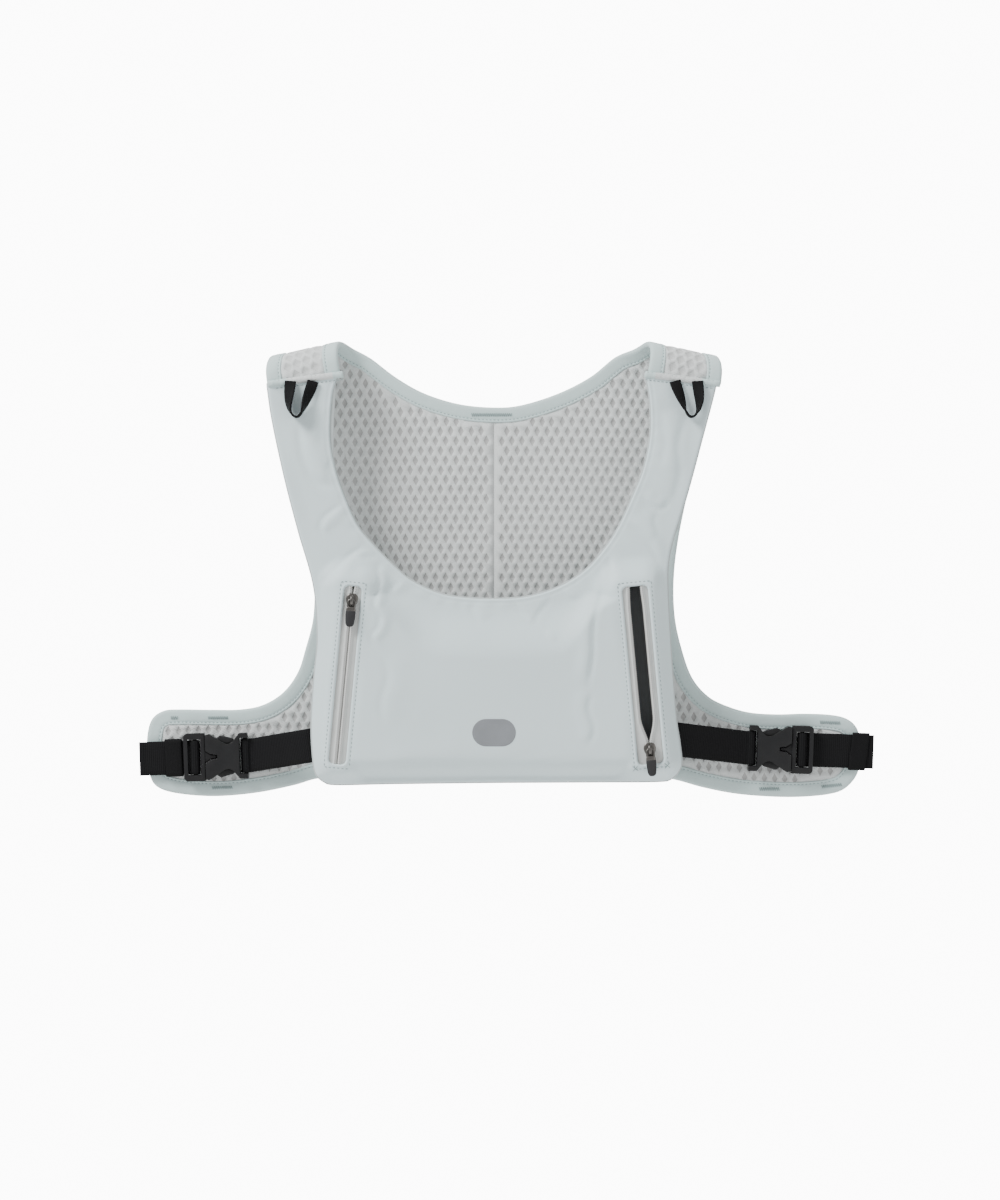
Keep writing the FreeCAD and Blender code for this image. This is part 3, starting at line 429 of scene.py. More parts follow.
def surface(name, colour, roughness, tone=0.06, tone_scale=25.0, **sockets):
    """A material with a softly varied colour; returns it, its tree, shader and colour output."""
    material = bpy.data.materials.new(name)
    material.use_nodes = True
    tree = material.node_tree
    shader = tree.nodes["Principled BSDF"]
    shader.inputs["Roughness"].default_value = roughness
    for label, value in sockets.items():
        shader.inputs[label.replace("_", " ")].default_value = value
    varied = use_group(tree, TONE, Colour=(*colour, 1.0), Scale=tone_scale, Amount=tone)
    link(tree, varied.outputs["Colour"], shader.inputs["Base Color"])
    material.diffuse_color = (*colour, 1.0)
    return material, tree, shader, varied.outputs["Colour"]


def bump(tree, shader, height, strength, distance, under=None):
    node = tree.nodes.new("ShaderNodeBump")
    node.inputs["Strength"].default_value = strength
    node.inputs["Distance"].default_value = distance
    link(tree, height, node.inputs["Height"])
    if under is not None:
        link(tree, under, node.inputs["Normal"])
    link(tree, node.outputs["Normal"], shader.inputs["Normal"])
    return node.outputs["Normal"]


def slow_noise(tree, scale, detail=2.0):
    place = tree.nodes.new("ShaderNodeTexCoord")
    cloud = tree.nodes.new("ShaderNodeTexNoise")
    cloud.inputs["Scale"].default_value = scale
    cloud.inputs["Detail"].default_value = detail
    link(tree, place.outputs["Object"], cloud.inputs["Vector"])
    return cloud.outputs["Fac"]


def attribute(tree, name):
    node = tree.nodes.new("ShaderNodeAttribute")
    node.attribute_name = name
    return node.outputs["Fac"]


def stretch_cloth(name, colour, thread=7200.0):
    """Smooth warp knit with a faint weave and a soft sheen."""
    material, tree, shader, _ = surface(
        name, colour, 0.62, tone=0.05, tone_scale=14.0, Sheen_Weight=0.25, Sheen_Roughness=0.45,
        Specular_IOR_Level=0.32)
    woven = use_group(tree, WEAVE, Across=thread, Along=thread * 0.8, Twist=0.6)
    ripple = bump(tree, shader, slow_noise(tree, 90.0, 3.0), 0.10, 0.0016)
    bump(tree, shader, woven.outputs["Height"], 0.12, 0.0001, ripple)
    return material


def knit_mesh(name, ridge, hollow):
    """Spacer knit: light ribs, holes darker from their inner layer and painted shade, fine rows of
    stitches.
    """
    material, tree, shader, shade = surface(name, ridge, 0.85, tone=0.07, tone_scale=30.0,
                                            Sheen_Weight=0.15)
    depth = math_node(tree, "MULTIPLY_ADD", slow_noise(tree, 16.0, 2.0), 1.1, 0.35, clamp=True)
    hole = math_node(tree, "MULTIPLY", attribute(tree, "hole"), depth)
    rows = use_group(tree, WEAVE, Across=2600.0, Along=6400.0, Twist=0.0)
    lit = mix_colour(tree, math_node(tree, "MULTIPLY", rows.outputs["Gap"], 0.3), shade,
                     tuple(c * 0.72 for c in ridge) + (1.0,))
    # Hole floors take the hollow colour: partly the darker inner layer seen through, partly painted
    # shade in the recess.
    dark = mix_colour(tree, hole, lit, (*hollow, 1.0))
    link(tree, dark, shader.inputs["Base Color"])
    bump(tree, shader, rows.outputs["Height"], 0.5, 0.00025)
    return material


def ribbed_webbing(name, colour, pitch, diagonal=0.0):
    """Flat webbing with fine ribs across it, read from the strip's own attributes."""
    material, tree, shader, shade = surface(name, colour, 0.7, tone=0.35, tone_scale=60.0,
                                            Sheen_Weight=0.03, Sheen_Roughness=0.4,
                                            Specular_IOR_Level=0.1)
    along = attribute(tree, "along")
    across = attribute(tree, "across")
    lean = math_node(tree, "MULTIPLY", across, diagonal)
    turn = math_node(tree, "MULTIPLY", math_node(tree, "ADD", along, lean), 2 * math.pi / pitch)
    rib = math_node(tree, "MULTIPLY_ADD", math_node(tree, "SINE", turn), 0.5, 0.5)
    cross = math_node(tree, "SINE", math_node(tree, "MULTIPLY", across, 2 * math.pi / 0.9))
    grain = math_node(tree, "MULTIPLY_ADD", math_node(tree, "MULTIPLY", rib, cross), 0.35, 0.5)
    height = math_node(tree, "ADD", math_node(tree, "MULTIPLY", rib, 0.7), grain)
    glint = mix_colour(tree, math_node(tree, "MULTIPLY", rib, 0.5), shade,
                       tuple(min(1.0, c * 2.2 + 0.004) for c in colour) + (1.0,))
    link(tree, glint, shader.inputs["Base Color"])
    bump(tree, shader, height, 0.55, 0.0003)
    return material


def moulded(name, colour, roughness, grain=900.0):
    """Moulded plastic or rubber: fine spark grain and rubbed edges."""
    material, tree, shader, _ = surface(name, colour, roughness, tone=0.25, tone_scale=80.0,
                                        Specular_IOR_Level=0.3)
    fine = slow_noise(tree, grain, 2.0)
    bump(tree, shader, fine, 0.16, 0.00012)
    worn = slow_noise(tree, 160.0, 4.0)
    rough = math_node(tree, "MULTIPLY_ADD", worn, 0.22, roughness - 0.11)
    link(tree, rough, shader.inputs["Roughness"])
    return material


def plated(name, colour):
    material, tree, shader, _ = surface(name, colour, 0.3, tone=0.3, tone_scale=300.0,
                                        Metallic=1.0)
    worn = slow_noise(tree, 700.0, 3.0)
    link(tree, math_node(tree, "MULTIPLY_ADD", worn, 0.3, 0.18), shader.inputs["Roughness"])
    bump(tree, shader, worn, 0.1, 0.0001)
    return material


def zip_cloth(name, colour):
    material, tree, shader, shade = surface(name, colour, 0.75, tone=0.06, tone_scale=80.0)
    woven = use_group(tree, WEAVE, Across=9000.0, Along=5200.0, Twist=0.0)
    dimmed = mix_colour(tree, math_node(tree, "MULTIPLY", woven.outputs["Gap"], 0.25), shade,
                        tuple(c * 0.6 for c in colour) + (1.0,))
    link(tree, dimmed, shader.inputs["Base Color"])
    bump(tree, shader, woven.outputs["Height"], 0.4, 0.0002)
    return material


FRONT_CLOTH = stretch_cloth("front_cloth", (0.68, 0.80, 0.82))
BINDING_CLOTH = stretch_cloth("binding_cloth", (0.56, 0.685, 0.68), 5200.0)
LINING_CLOTH = stretch_cloth("lining_cloth", (0.50, 0.555, 0.555), 5600.0)
MESH_KNIT = knit_mesh("mesh_knit", (0.67, 0.70, 0.695), (0.40, 0.405, 0.40))
THREAD = moulded("sewing_thread", (0.33, 0.43, 0.43), 0.7, 2400.0)
DARK_THREAD = moulded("bartack_thread", (0.30, 0.38, 0.38), 0.7, 2400.0)
BLACK_WEBBING = ribbed_webbing("black_webbing", (0.005, 0.005, 0.0056), 1.15)
BLACK_ELASTIC = ribbed_webbing("black_elastic", (0.0045, 0.0045, 0.005), 0.95, 0.9)
LOOP_WEBBING = ribbed_webbing("loop_webbing", (0.0045, 0.0045, 0.005), 0.7)
BUCKLE_PLASTIC = moulded("buckle_plastic", (0.0105, 0.0105, 0.0115), 0.42)
GRIP_RUBBER = moulded("grip_rubber", (0.024, 0.024, 0.026), 0.6, 1500.0)
GUNMETAL = plated("gunmetal", (0.15, 0.142, 0.134))
TAPE_CLOTH = zip_cloth("zip_tape", (0.60, 0.615, 0.60))
COIL_NYLON = moulded("zip_coil", (0.56, 0.56, 0.54), 0.4, 1500.0)
PRINT_FILM = moulded("print_film", (0.225, 0.238, 0.255), 0.45, 2600.0)
# Painted shadow: the pocket divider is made near-black to stand for the shade inside the deep,
# narrow pocket.
POCKET_SHADOW_CLOTH = stretch_cloth("pocket_painted_shadow", (0.10, 0.105, 0.11))
TAPE_THREAD = moulded("tape_thread", (0.20, 0.20, 0.20), 0.7, 2400.0)
STRAP_THREAD = moulded("strap_thread", (0.012, 0.012, 0.013), 0.6, 2400.0)

# ---------------------------------------------------------------- the panels' outlines (x, z)

NECK_EDGE = [(-91.4, -12.9), (-95.0, -25.7), (-96.3, -49.9), (-93, -69.3), (-87.3, -85.9),
             (-79.7, -102.4), (-68.3, -116), (-57, -127.2), (-47.8, -134.6), (-31.3, -142.0),
             (-13.1, -144.6), (3.5, -144.9), (20.1, -143.5), (38.1, -137.8), (53.4, -128.2),
             (64.9, -115.4), (73.0, -102.9), (80.9, -85.9), (87.9, -68.1), (91.8, -47.6),
             (91.3, -26.6), (88.5, -12.6)]
RIGHT_EDGE = [(130.2, -18.1), (128.6, -25.3), (125.6, -36.8), (120.8, -54.8), (116, -72.9),
              (111.2, -89.7), (105.1, -109), (102.4, -121.1), (101.6, -135), (103.2, -170),
              (106.2, -211.3), (108.6, -228.5), (109.8, -240)]
HEM_EDGE = [(108.3, -245.4), (104.2, -249.8), (97.0, -251.6), (60, -251.9), (0, -252.2),
            (-60, -252.9), (-92.5, -253.5), (-99.8, -251.8), (-104.3, -247.2), (-106.0, -238)]
LEFT_EDGE = [(-106.9, -217.8), (-105.2, -189.6), (-103.3, -167), (-105.6, -137),
             (-114.6, -104.7), (-122.5, -74.2), (-129.8, -40.4), (-133.0, -18.9)]
POCKET_EDGE = [(-104.0, -249.5), (104.5, -248.5), (104, -205), (99.8, -158), (97.5, -124),
               (84, -126), (60, -139), (31, -147.5), (0, -149), (-31, -147.5), (-60, -139),
               (-84, -126), (-98.5, -124), (-100.5, -158), (-103.5, -205)]

BACK_NECK = [(-72.9, -2.1), (-57.8, -13.5), (-41.3, -22.7), (-20.8, -29.0), (0, -31.0),
             (16.3, -29.6), (38.1, -22.7), (57.2, -12.9), (71.6, -1.4)]
ARM_EDGES = {
    LEFT: [(-124.6, -42), (-116.5, -76), (-109.8, -108), (-107.0, -133), (-107.6, -156),
           (-112.3, -175), (-116.8, -188.6), (-125.2, -200.2), (-137.1, -207.7),
           (-150.7, -210.5), (-168, -210.7), (-186.8, -210.5), (-196, -211.2),
           (-202.8, -215.5), (-205.8, -223.4), (-206.6, -236), (-205.2, -248),
           (-200.8, -256.2), (-189, -260.4), (-166.5, -262.2), (-141.7, -260.2),
           (-119.1, -255.7), (-104, -251.6), (-80, -250.4), (-40, -250), (0, -250)],
    RIGHT: [(124.6, -42), (116.5, -76), (109.8, -108), (106.9, -133), (107.6, -156),
            (112.0, -176), (118.0, -192), (127.4, -202.8), (138.8, -208.6), (152, -212.3),
            (168, -213.4), (184, -213.0), (199, -213.6), (208.6, -215.6), (214.6, -220),
            (217.3, -227), (217.6, -240), (215.6, -249.6), (208.6, -257.6), (199, -261.0),
            (182, -262.6), (163, -262.4), (142.6, -260.6), (123.8, -256.9), (104, -251.8),
            (80, -250.4), (40, -250), (0, -250)],
}

# Shoulder folds: the flat back panel carries on over each shoulder and down to the front seam.
FOLD_X, FOLD_Z = 108.0, -12.2
FOLD_LEAN = math.radians(12.0)
FOLD_END = FOLD_RADIUS * math.pi + 3.4


def fold_axes(side):
    out = np.array([math.cos(FOLD_LEAN) * side, -math.sin(FOLD_LEAN)])
    up = np.array([math.sin(FOLD_LEAN) * side, math.cos(FOLD_LEAN)])
    return np.array([FOLD_X * side, FOLD_Z]), out, up


def from_fold(side, along, rise):
    """Flat back-panel place: outwards along the fold and up across it."""
    start, out, up = fold_axes(side)
    return tuple(start + out * along + up * rise)


def drape(points, height):
    """Fold flat back-panel points over the shoulders; height is measured outwards."""
    points = np.array(points, float)
    height = np.broadcast_to(np.array(height, float), (len(points),))
    place = np.zeros((len(points), 3))
    side = np.where(points[:, 0] < 0, -1.0, 1.0)
    start = np.stack([FOLD_X * side, np.full(len(points), FOLD_Z)], 1)
    out = np.stack([math.cos(FOLD_LEAN) * side, np.full(len(points), -math.sin(FOLD_LEAN))], 1)
    up = np.stack([math.sin(FOLD_LEAN) * side, np.full(len(points), math.cos(FOLD_LEAN))], 1)
    along = ((points - start) * out).sum(1)
    rise = ((points - start) * up).sum(1)
    radius = FOLD_RADIUS + height
    turn = np.clip(rise / FOLD_RADIUS, 0, math.pi)
    past = np.maximum(rise - math.pi * FOLD_RADIUS, 0)
    flat = rise <= 0
    lift = np.where(flat, rise, radius * np.sin(turn) - past)
    lift = np.where(rise > math.pi * FOLD_RADIUS, -past, lift)
    where = start + out * along[:, None] + up * lift[:, None]
    place[:, 0], place[:, 2] = where[:, 0], where[:, 1]
    place[:, 1] = np.where(flat, radius, radius * np.cos(turn))
    return place


def neck_path():
    """The back neck edge, from the left front seam over both shoulders to the right one."""
    rows = [(-17.4, FOLD_END + 1.4), (-18.0, 37), (-19.6, 28), (-22.2, 20), (-27.2, 11.2)]
    left = [from_fold(LEFT, a, r) for a, r in rows]
    right = [from_fold(RIGHT, a, r) for a, r in reversed(rows)]
    return spaced(smooth(left + BACK_NECK + right, 1.0), 1.5)


def arm_path(side):
    """The edge from the front seam over the shoulder, down the arm, round the wing and hem."""
    rows = [(26.0, FOLD_END - 1.8), (25.0, 36), (22.6, 27), (20.6, 20), (21.6, 10), (23.0, 0.0)]
    return spaced(smooth([from_fold(side, a, r) for a, r in rows] + ARM_EDGES[side], 1.0), 1.5)


# ---------------------------------------------------------------- front panel surface

ZIP_LEAN = math.radians(5.3)
ZIP_LONG = 104.0
ZIP_TOP = -137.5
ZIP_OUT = 82.0
WINDOW = {LEFT: 10.0, RIGHT: 15.0}
SLIDER_AT = {LEFT: 8.36, RIGHT: 95.64}


def zip_place(side, across, down):
    """Panel place of a zip: across to +X of its axis and down along it."""
    x = ZIP_OUT * side + across * math.cos(ZIP_LEAN) + down * math.sin(ZIP_LEAN) * side
    z = ZIP_TOP - down * math.cos(ZIP_LEAN) + across * math.sin(ZIP_LEAN) * side
    return np.stack([x, z], axis=-1)


def zip_window(side, grow=0.0, step=1.6, bend=2.4):
    """The window's rounded outline, made larger by grow."""
    rows = rounded_box(WINDOW[side] / 2 + grow, ZIP_LONG / 2 + grow, bend, step)
    return zip_place(side, rows[:, 0], rows[:, 1] + ZIP_LONG / 2)


WINDOWS = {side: zip_window(side) for side in (LEFT, RIGHT)}

# Each crease of the cloth: its path, its width and its height.  The swollen side is to its left.
FRONT_FOLDS = [
    ([(-114, -38), (-114, -48), (-112, -61), (-106.8, -73), (-99.6, -78.2), (-92, -76.5)],
     3.4, 1.5),
    ([(-87, -88.2), (-94, -92.5), (-100.3, -98), (-101.8, -104), (-98, -109)], 1.9, 1.35),
    ([(-68.7, -116.9), (-77.8, -115.4), (-85.3, -119.9), (-92.8, -127.4), (-98.8, -134.2),
      (-102.4, -143)], 1.8, 1.5),
    ([(-67, -118.2), (-73.2, -120.3), (-81, -119.9)], 1.3, 0.8),
    ([(-62.6, -121.4), (-68, -126.7), (-66.8, -134.2), (-68.7, -142.5), (-70.2, -150),
      (-66.8, -156), (-68, -161.3), (-71.3, -166), (-70.6, -170), (-65.7, -176)], 1.5, 1.6),
    ([(-53.2, -131.2), (-58.2, -137.2), (-64.2, -139.8)], 1.3, 0.9),
    ([(-66, -178), (-62, -190), (-66, -206), (-63, -220)], 3.2, 0.8),
    ([(-14.2, -146), (-12.3, -153), (-8.6, -160)], 2.4, 0.7),
    ([(9.8, -145.2), (14.8, -151.5), (20, -155.4)], 1.4, 0.95),
    ([(23.6, -161), (25.3, -154.5), (31.4, -147), (34.8, -139.8)], 1.9, 1.0),
    ([(39.2, -139.4), (43.4, -144.7), (51, -145.3)], 1.5, 0.8),
    ([(55, -198), (55.8, -190), (57.7, -176.4), (57.7, -165), (59.2, -153.8), (62.8, -143),
      (63.4, -132)], 2.0, 1.7),
    ([(54, -232), (58.5, -221), (55, -208), (58, -198)], 2.0, 1.1),
    ([(28, -165.4), (33.8, -171.2)], 1.5, 0.7),
    ([(66.5, -118), (68, -130), (66, -141)], 1.6, 0.9),
    ([(-84, -100), (-77, -108.5), (-72, -113)], 1.7, 0.7),
    ([(-105.5, -26), (-101, -44), (-104, -58)], 3.8, 0.9),
    ([(104, -92), (109, -72), (108, -54), (113, -36)], 3.4, 1.1),
    ([(96, -34), (100, -52), (96.5, -70)], 3.6, 1.0),
    ([(84.5, -83), (91, -90), (98, -92), (104, -86)], 1.9, 1.2),
    ([(76, -99.5), (84, -105), (92, -114), (98, -127)], 1.9, 1.2),
    ([(97.5, -108), (94, -100), (96, -93)], 1.8, 0.8),
    ([(-40, -236), (-8, -240), (30, -236)], 4.4, 0.55),
    ([(-66, -243), (-40, -239.5), (-16, -242.5)], 2.6, 0.6),
    ([(62, -241), (44, -238), (22, -241.5)], 2.6, 0.5),
]
NECK_STEP = 1.6
NECK_LINE = spaced(smooth(NECK_EDGE, 1.0), NECK_STEP)
FRONT_LOOP = np.vstack([
    NECK_LINE[:-1],
    spaced(smooth([NECK_EDGE[-1], (108.0, -15.1), RIGHT_EDGE[0]], 1.0), 1.8)[:-1],
    spaced(smooth(RIGHT_EDGE + HEM_EDGE + LEFT_EDGE, 1.0), 1.8)[:-1],
    spaced(smooth([LEFT_EDGE[-1], (-110.0, -15.6), NECK_EDGE[0]], 1.0), 1.8)[:-1],
])
POCKET_LOOP = closed_loop(POCKET_EDGE, 2.0)
POCKET_RISE = 12.0       # what the pocket takes to stand out at its sides and hem
POCKET_SLOPE = 20.0      # added to it at the middle of the pocket's top
SLOPE_LOW, SLOPE_HIGH = -216.0, -186.0
HEM_ROLL, HEM_ROLL_HIGH = -226.0, 14.0
ZIP_BAND, ZIP_FADE = 1.5, 17.0   # the flat band round a zip, and what it fades over
EDGE_ROLL = 9.5
CALM_EDGE = 9.0          # folds die away this near to the panel's edge
SWELL_HIGH = 0.2
PUCKER_HIGH, PUCKER_IN, PUCKER_WIDE = 0.17, 3.6, 2.8
NECK_GROOVE, NECK_GROOVE_IN, NECK_GROOVE_WIDE = 0.42, 2.0, 0.5
# Round each zip window: the turned lip and the groove of its stitches, as height, place, width.
WINDOW_LIP = (0.45, 1.1, 0.75)
WINDOW_GROOVE = (-0.34, 2.4, 0.5)
# The cloth's broad swells: a direction, a phase and a length each.
SWELLS = [(noise.uniform(-1, 1), noise.uniform(-1, 1), noise.uniform(0, 6.28),
           noise.uniform(38, 85)) for _ in range(7)]


def fold_height(points, path, width, height):
    """A crisp crease with a soft swelling on one side, dying away at the ends of its path."""
    line = spaced(smooth(path, 1.0), 1.2)
    gap, near, index = nearest(points, line, closed=False)
    along = np.diff(line, axis=0)[index]
    off = points - near
    sign = np.sign(along[:, 0] * off[:, 1] - along[:, 1] * off[:, 0])
    signed = gap * sign
    reach = index / max(1, len(line) - 2)
    fade = ease(reach * 4 + 0.12) * ease((1 - reach) * 4 + 0.12)
    swollen = np.exp(-((signed - 2.0 * width) / (2.1 * width)) ** 2)
    crease = np.exp(-(signed / (0.7 * width)) ** 2)
    return height * fade * (0.72 * swollen - 0.72 * crease)


def bump_at(place, height, middle, width):
    return height * np.exp(-((place - middle) / width) ** 2)


def pocket_bulge(points, rim, edge):
    """Share of the pocket's full depth; rim and edge are distances to a zip and to the edge."""
    gap, _, _ = nearest(points, POCKET_LOOP)
    gap = np.where(inside(points, POCKET_LOOP), gap, 0)
    high = (points[:, 1] - SLOPE_LOW) / (SLOPE_HIGH - SLOPE_LOW)
    share = np.clip(gap / (POCKET_RISE + POCKET_SLOPE * ease((rim - 10) / 30) * ease(high)), 0, 1)
    low = ease((HEM_ROLL - points[:, 1]) / HEM_ROLL_HIGH)
    bulge = ease(share) * (1 - low) + np.sin(share * math.pi / 2) * low
    roll = np.sin(np.clip(edge / EDGE_ROLL, 0, 1) * math.pi / 2)
    return np.maximum(bulge, (1 - ease((rim - ZIP_BAND) / ZIP_FADE)) * roll)


def front_depth(points):
    """How far the front cloth stands forward of the strap's face, in millimetres."""
    points = np.array(points, float)
    rim = np.min([nearest(points, WINDOWS[side])[0] for side in (LEFT, RIGHT)], axis=0)
    edge, _, _ = nearest(points, FRONT_LOOP)
    depth = (STRAP_DEPTH - SHELL_FRONT) * pocket_bulge(points, rim, edge)
    calm = ease(edge / CALM_EDGE)
    slack = ease((rim - 0.5) / 6.5)
    for path, width, height in FRONT_FOLDS:
        depth = depth + fold_height(points, path, width, height) * (0.4 + 0.6 * calm) * slack
    for a, b, phase, size in SWELLS:
        wave = np.sin((points[:, 0] * a + points[:, 1] * b) * 2 * math.pi / size + phase)
        depth = depth + SWELL_HIGH * wave * calm * slack
    neck, _, index = nearest(points, NECK_LINE, closed=False)
    run = index * NECK_STEP
    gathers = np.sin(run / 1.7 + 2.0 * np.sin(run / 13))
    depth = depth + gathers * bump_at(neck, PUCKER_HIGH, PUCKER_IN, PUCKER_WIDE)
    depth = depth - bump_at(neck, NECK_GROOVE, NECK_GROOVE_IN, NECK_GROOVE_WIDE)
    return depth + bump_at(rim, *WINDOW_LIP) + bump_at(rim, *WINDOW_GROOVE)


def rounded(gap, radius):
    """Drop of a rounded edge at a distance in from it."""
    inner = np.clip(gap / radius, 0, 1)
    return radius * (1 - np.sqrt(1 - (1 - inner) ** 2))


def front_face(points):
    """y of the front cloth's outer face."""
    return STRAP_DEPTH - front_depth(points)


FRONT_SPACING = 1.75
EDGE_ROWS = [0.25, 0.7, 1.3, 2.1, 3.0, 4.2]


def build_front():
    holes = [WINDOWS[LEFT], WINDOWS[RIGHT]]
    flat, faces = sheet_mesh(FRONT_LOOP, holes, FRONT_SPACING, EDGE_ROWS)
    edge, _, _ = nearest(flat, FRONT_LOOP)
    for hole in holes:
        edge = np.minimum(edge, nearest(flat, hole)[0])
    front = front_face(flat)
    drop = rounded(edge, 1.1)
    outer = np.stack([flat[:, 0], front + drop, flat[:, 1]], 1)
    back = np.minimum(front + CLOTH_WALL, LINING_DEPTH)
    back = np.where(front > -15.0, np.maximum(back, front + 1.1), back)
    inner = np.stack([flat[:, 0], np.maximum(back, front + drop + 0.12), flat[:, 1]], 1)
    verts, whole = closed_sheet(flat, faces, outer, inner)
    thing = piece("front_cloth_panel", verts, whole, FRONT_CLOTH, replaces=["front_shell"],
                  slot="cloth")


def flat_panel(name, loop, low, high, material, replaces, spacing=5.0):
    """A thin flat cloth layer with softened edges between two depths."""
    flat, faces = sheet_mesh(loop, [], spacing, [0.4, 1.2])
    edge, _, _ = nearest(flat, loop)
    drop = rounded(edge, (high - low) * 0.5)
    outer = np.stack([flat[:, 0], low + drop, flat[:, 1]], 1)
    inner = np.stack([flat[:, 0], high - drop + 0.001, flat[:, 1]], 1)
    verts, whole = closed_sheet(flat, faces, outer, inner)
    thing = piece(name, verts, whole, material, replaces=replaces, slot="lining")


def offset_loop(loop, grow):
    side = sideways(loop, True)
    turn = -1 if inside(loop[:1] + side[:1] * 0.05, loop)[0] else 1
    return loop + side * grow * turn


def build_front_layers():
    flat_panel("front_lining_panel", offset_loop(FRONT_LOOP, 0.75), LINING_FRONT, LINING_BACK,
               LINING_CLOTH, ["front_lining"])
    # The divider wears the near-black cloth that paints the pocket's shadow.
    flat_panel("pocket_divider_panel", offset_loop(POCKET_LOOP, -0.5), LINING_FRONT - 0.75,
               LINING_FRONT - 0.05, POCKET_SHADOW_CLOTH, ["pocket_divider"])
    for side in (LEFT, RIGHT):
        top = [(92.5 * side, -17.0), (127.0 * side, -22.6)]
        rows = top + [(118.0 * side, -60), (109.2 * side, -96), (106.4 * side, -106),
                      (90.0 * side, -106), (93.2 * side, -80), (94.0 * side, -50),
                      (93.0 * side, -26)]
        loop = spaced(smooth(rows + rows[:1], 2.0), 3.0)[:-1]
        name = SIDE_NAMES[side]
        flat_panel(f"{name}_strap_padding", loop, LINING_FRONT - 0.75, LINING_FRONT - 0.05,
                   LINING_CLOTH, [f"{name}_strap_interlining"])


# ---------------------------------------------------------------- stitches and trims


def capsule(start, end, radius, out, sides=6):
    """A small lozenge of thread between two points, as verts and faces."""
    start, end = np.array(start, float), np.array(end, float)
    along = end - start
    size = np.linalg.norm(along)
    along = along / max(size, 1e-9)
    out = np.array(out, float)
    out = out - along * out.dot(along)
    out /= max(np.linalg.norm(out), 1e-9)
    across = np.cross(along, out)
    rings = [(0.0, 0.25, -0.35), (0.2, 0.85, 0.35), (0.5, 1.0, 0.6), (0.8, 0.85, 0.35),
             (1.0, 0.25, -0.35)]
    verts = []
    for t, wide, lift in rings:
        middle = start + along * size * t + out * radius * lift
        for k in range(sides):
            turn = 2 * math.pi * k / sides
            verts.append(middle + radius * wide * (across * math.cos(turn)
                                                   + out * math.sin(turn)))
    return verts, tube_faces(len(rings), sides)


def many(parts):
    """Join (verts, faces) pairs into one."""
    verts, faces = [], []
    for some, loops in parts:
        first = len(verts)
        verts.extend(some)
        faces.extend([[first + i for i in f] for f in loops])
    return verts, faces


def joined(name, parts, material, **said):
    """One piece made of many small parts."""
    verts, faces = many(parts)
    return piece(name, verts, faces, material, **said)


# Each kind of stitch: how long it is, the gap after it, and its thread's radius.
BOX_STITCH = (1.7, 0.8, 0.24)
BINDING_STITCH = (1.4, 0.9, 0.25)
ANCHOR_STITCH = (1.7, 0.7, 0.2)
BOX_OUT = 2.4            # the stitch box stands this far outside its window
TACK_PITCH, TACK_LEAN, TACK_HIGH, TACK_THREAD = 0.62, 0.28, 2.3, 0.3


def stitch_row(path, outward, long, gap, radius):
    """Stitches along a 3-D path: each stitch long, with a gap between."""
    path = np.array(path, float)
    run = run_along(path)
    parts = []
    at = gap
    while at + long < run[-1]:
        ends = [[np.interp(t, run, path[:, k]) for k in range(3)] for t in (at, at + long)]
        out = [np.interp(at, run, outward[:, k]) for k in range(3)]
        parts.append(capsule(ends[0], ends[1], radius, out))
        at += long + gap
    return parts


def front_stitches():
    """The box of stitches round each zip window, and a cross at the open zip's lower corners."""
    parts = []
    for side in (LEFT, RIGHT):
        loop = zip_window(side, BOX_OUT, step=1.0, bend=0.6)
        loop = np.vstack([loop, loop[:1]])
        y = front_face(loop) - 0.05
        path = np.stack([loop[:, 0], y, loop[:, 1]], 1)
        out = np.tile([0.0, -1.0, 0.0], (len(path), 1))
        parts += stitch_row(path, out, *BOX_STITCH)
        if side == LEFT:
            continue
        half = WINDOW[side] / 2 + BOX_OUT
        corners = [(half - 0.5, ZIP_LONG + 1.9), (-half + 0.5, ZIP_LONG + 1.9)]
        for across, down in corners:
            for da, dd in ((1.6, 1.6), (1.6, -1.6)):
                ends = np.array([zip_place(side, across - da, down - dd),
                                 zip_place(side, across + da, down + dd)])
                y = front_face(ends) - 0.15
                parts.append(capsule((ends[0, 0], y[0], ends[0, 1]),
                                     (ends[1, 0], y[1], ends[1, 1]), 0.26, (0, -1, 0)))
    joined("zip_box_stitches", parts, DARK_THREAD, slot="thread")


def edge_frame(path, wide):
    """Inner edge of a strip that follows a path, without crossings on tight bends."""
    side = sideways(path)
    inner = path + side * wide
    gap, _, _ = nearest(inner, path, closed=False)
    bad = gap < abs(wide) * 0.985
    good = np.where(~bad)[0]
    for k in (0, 1):
        inner[:, k] = np.interp(np.arange(len(path)), good, inner[good, k])
    return inner


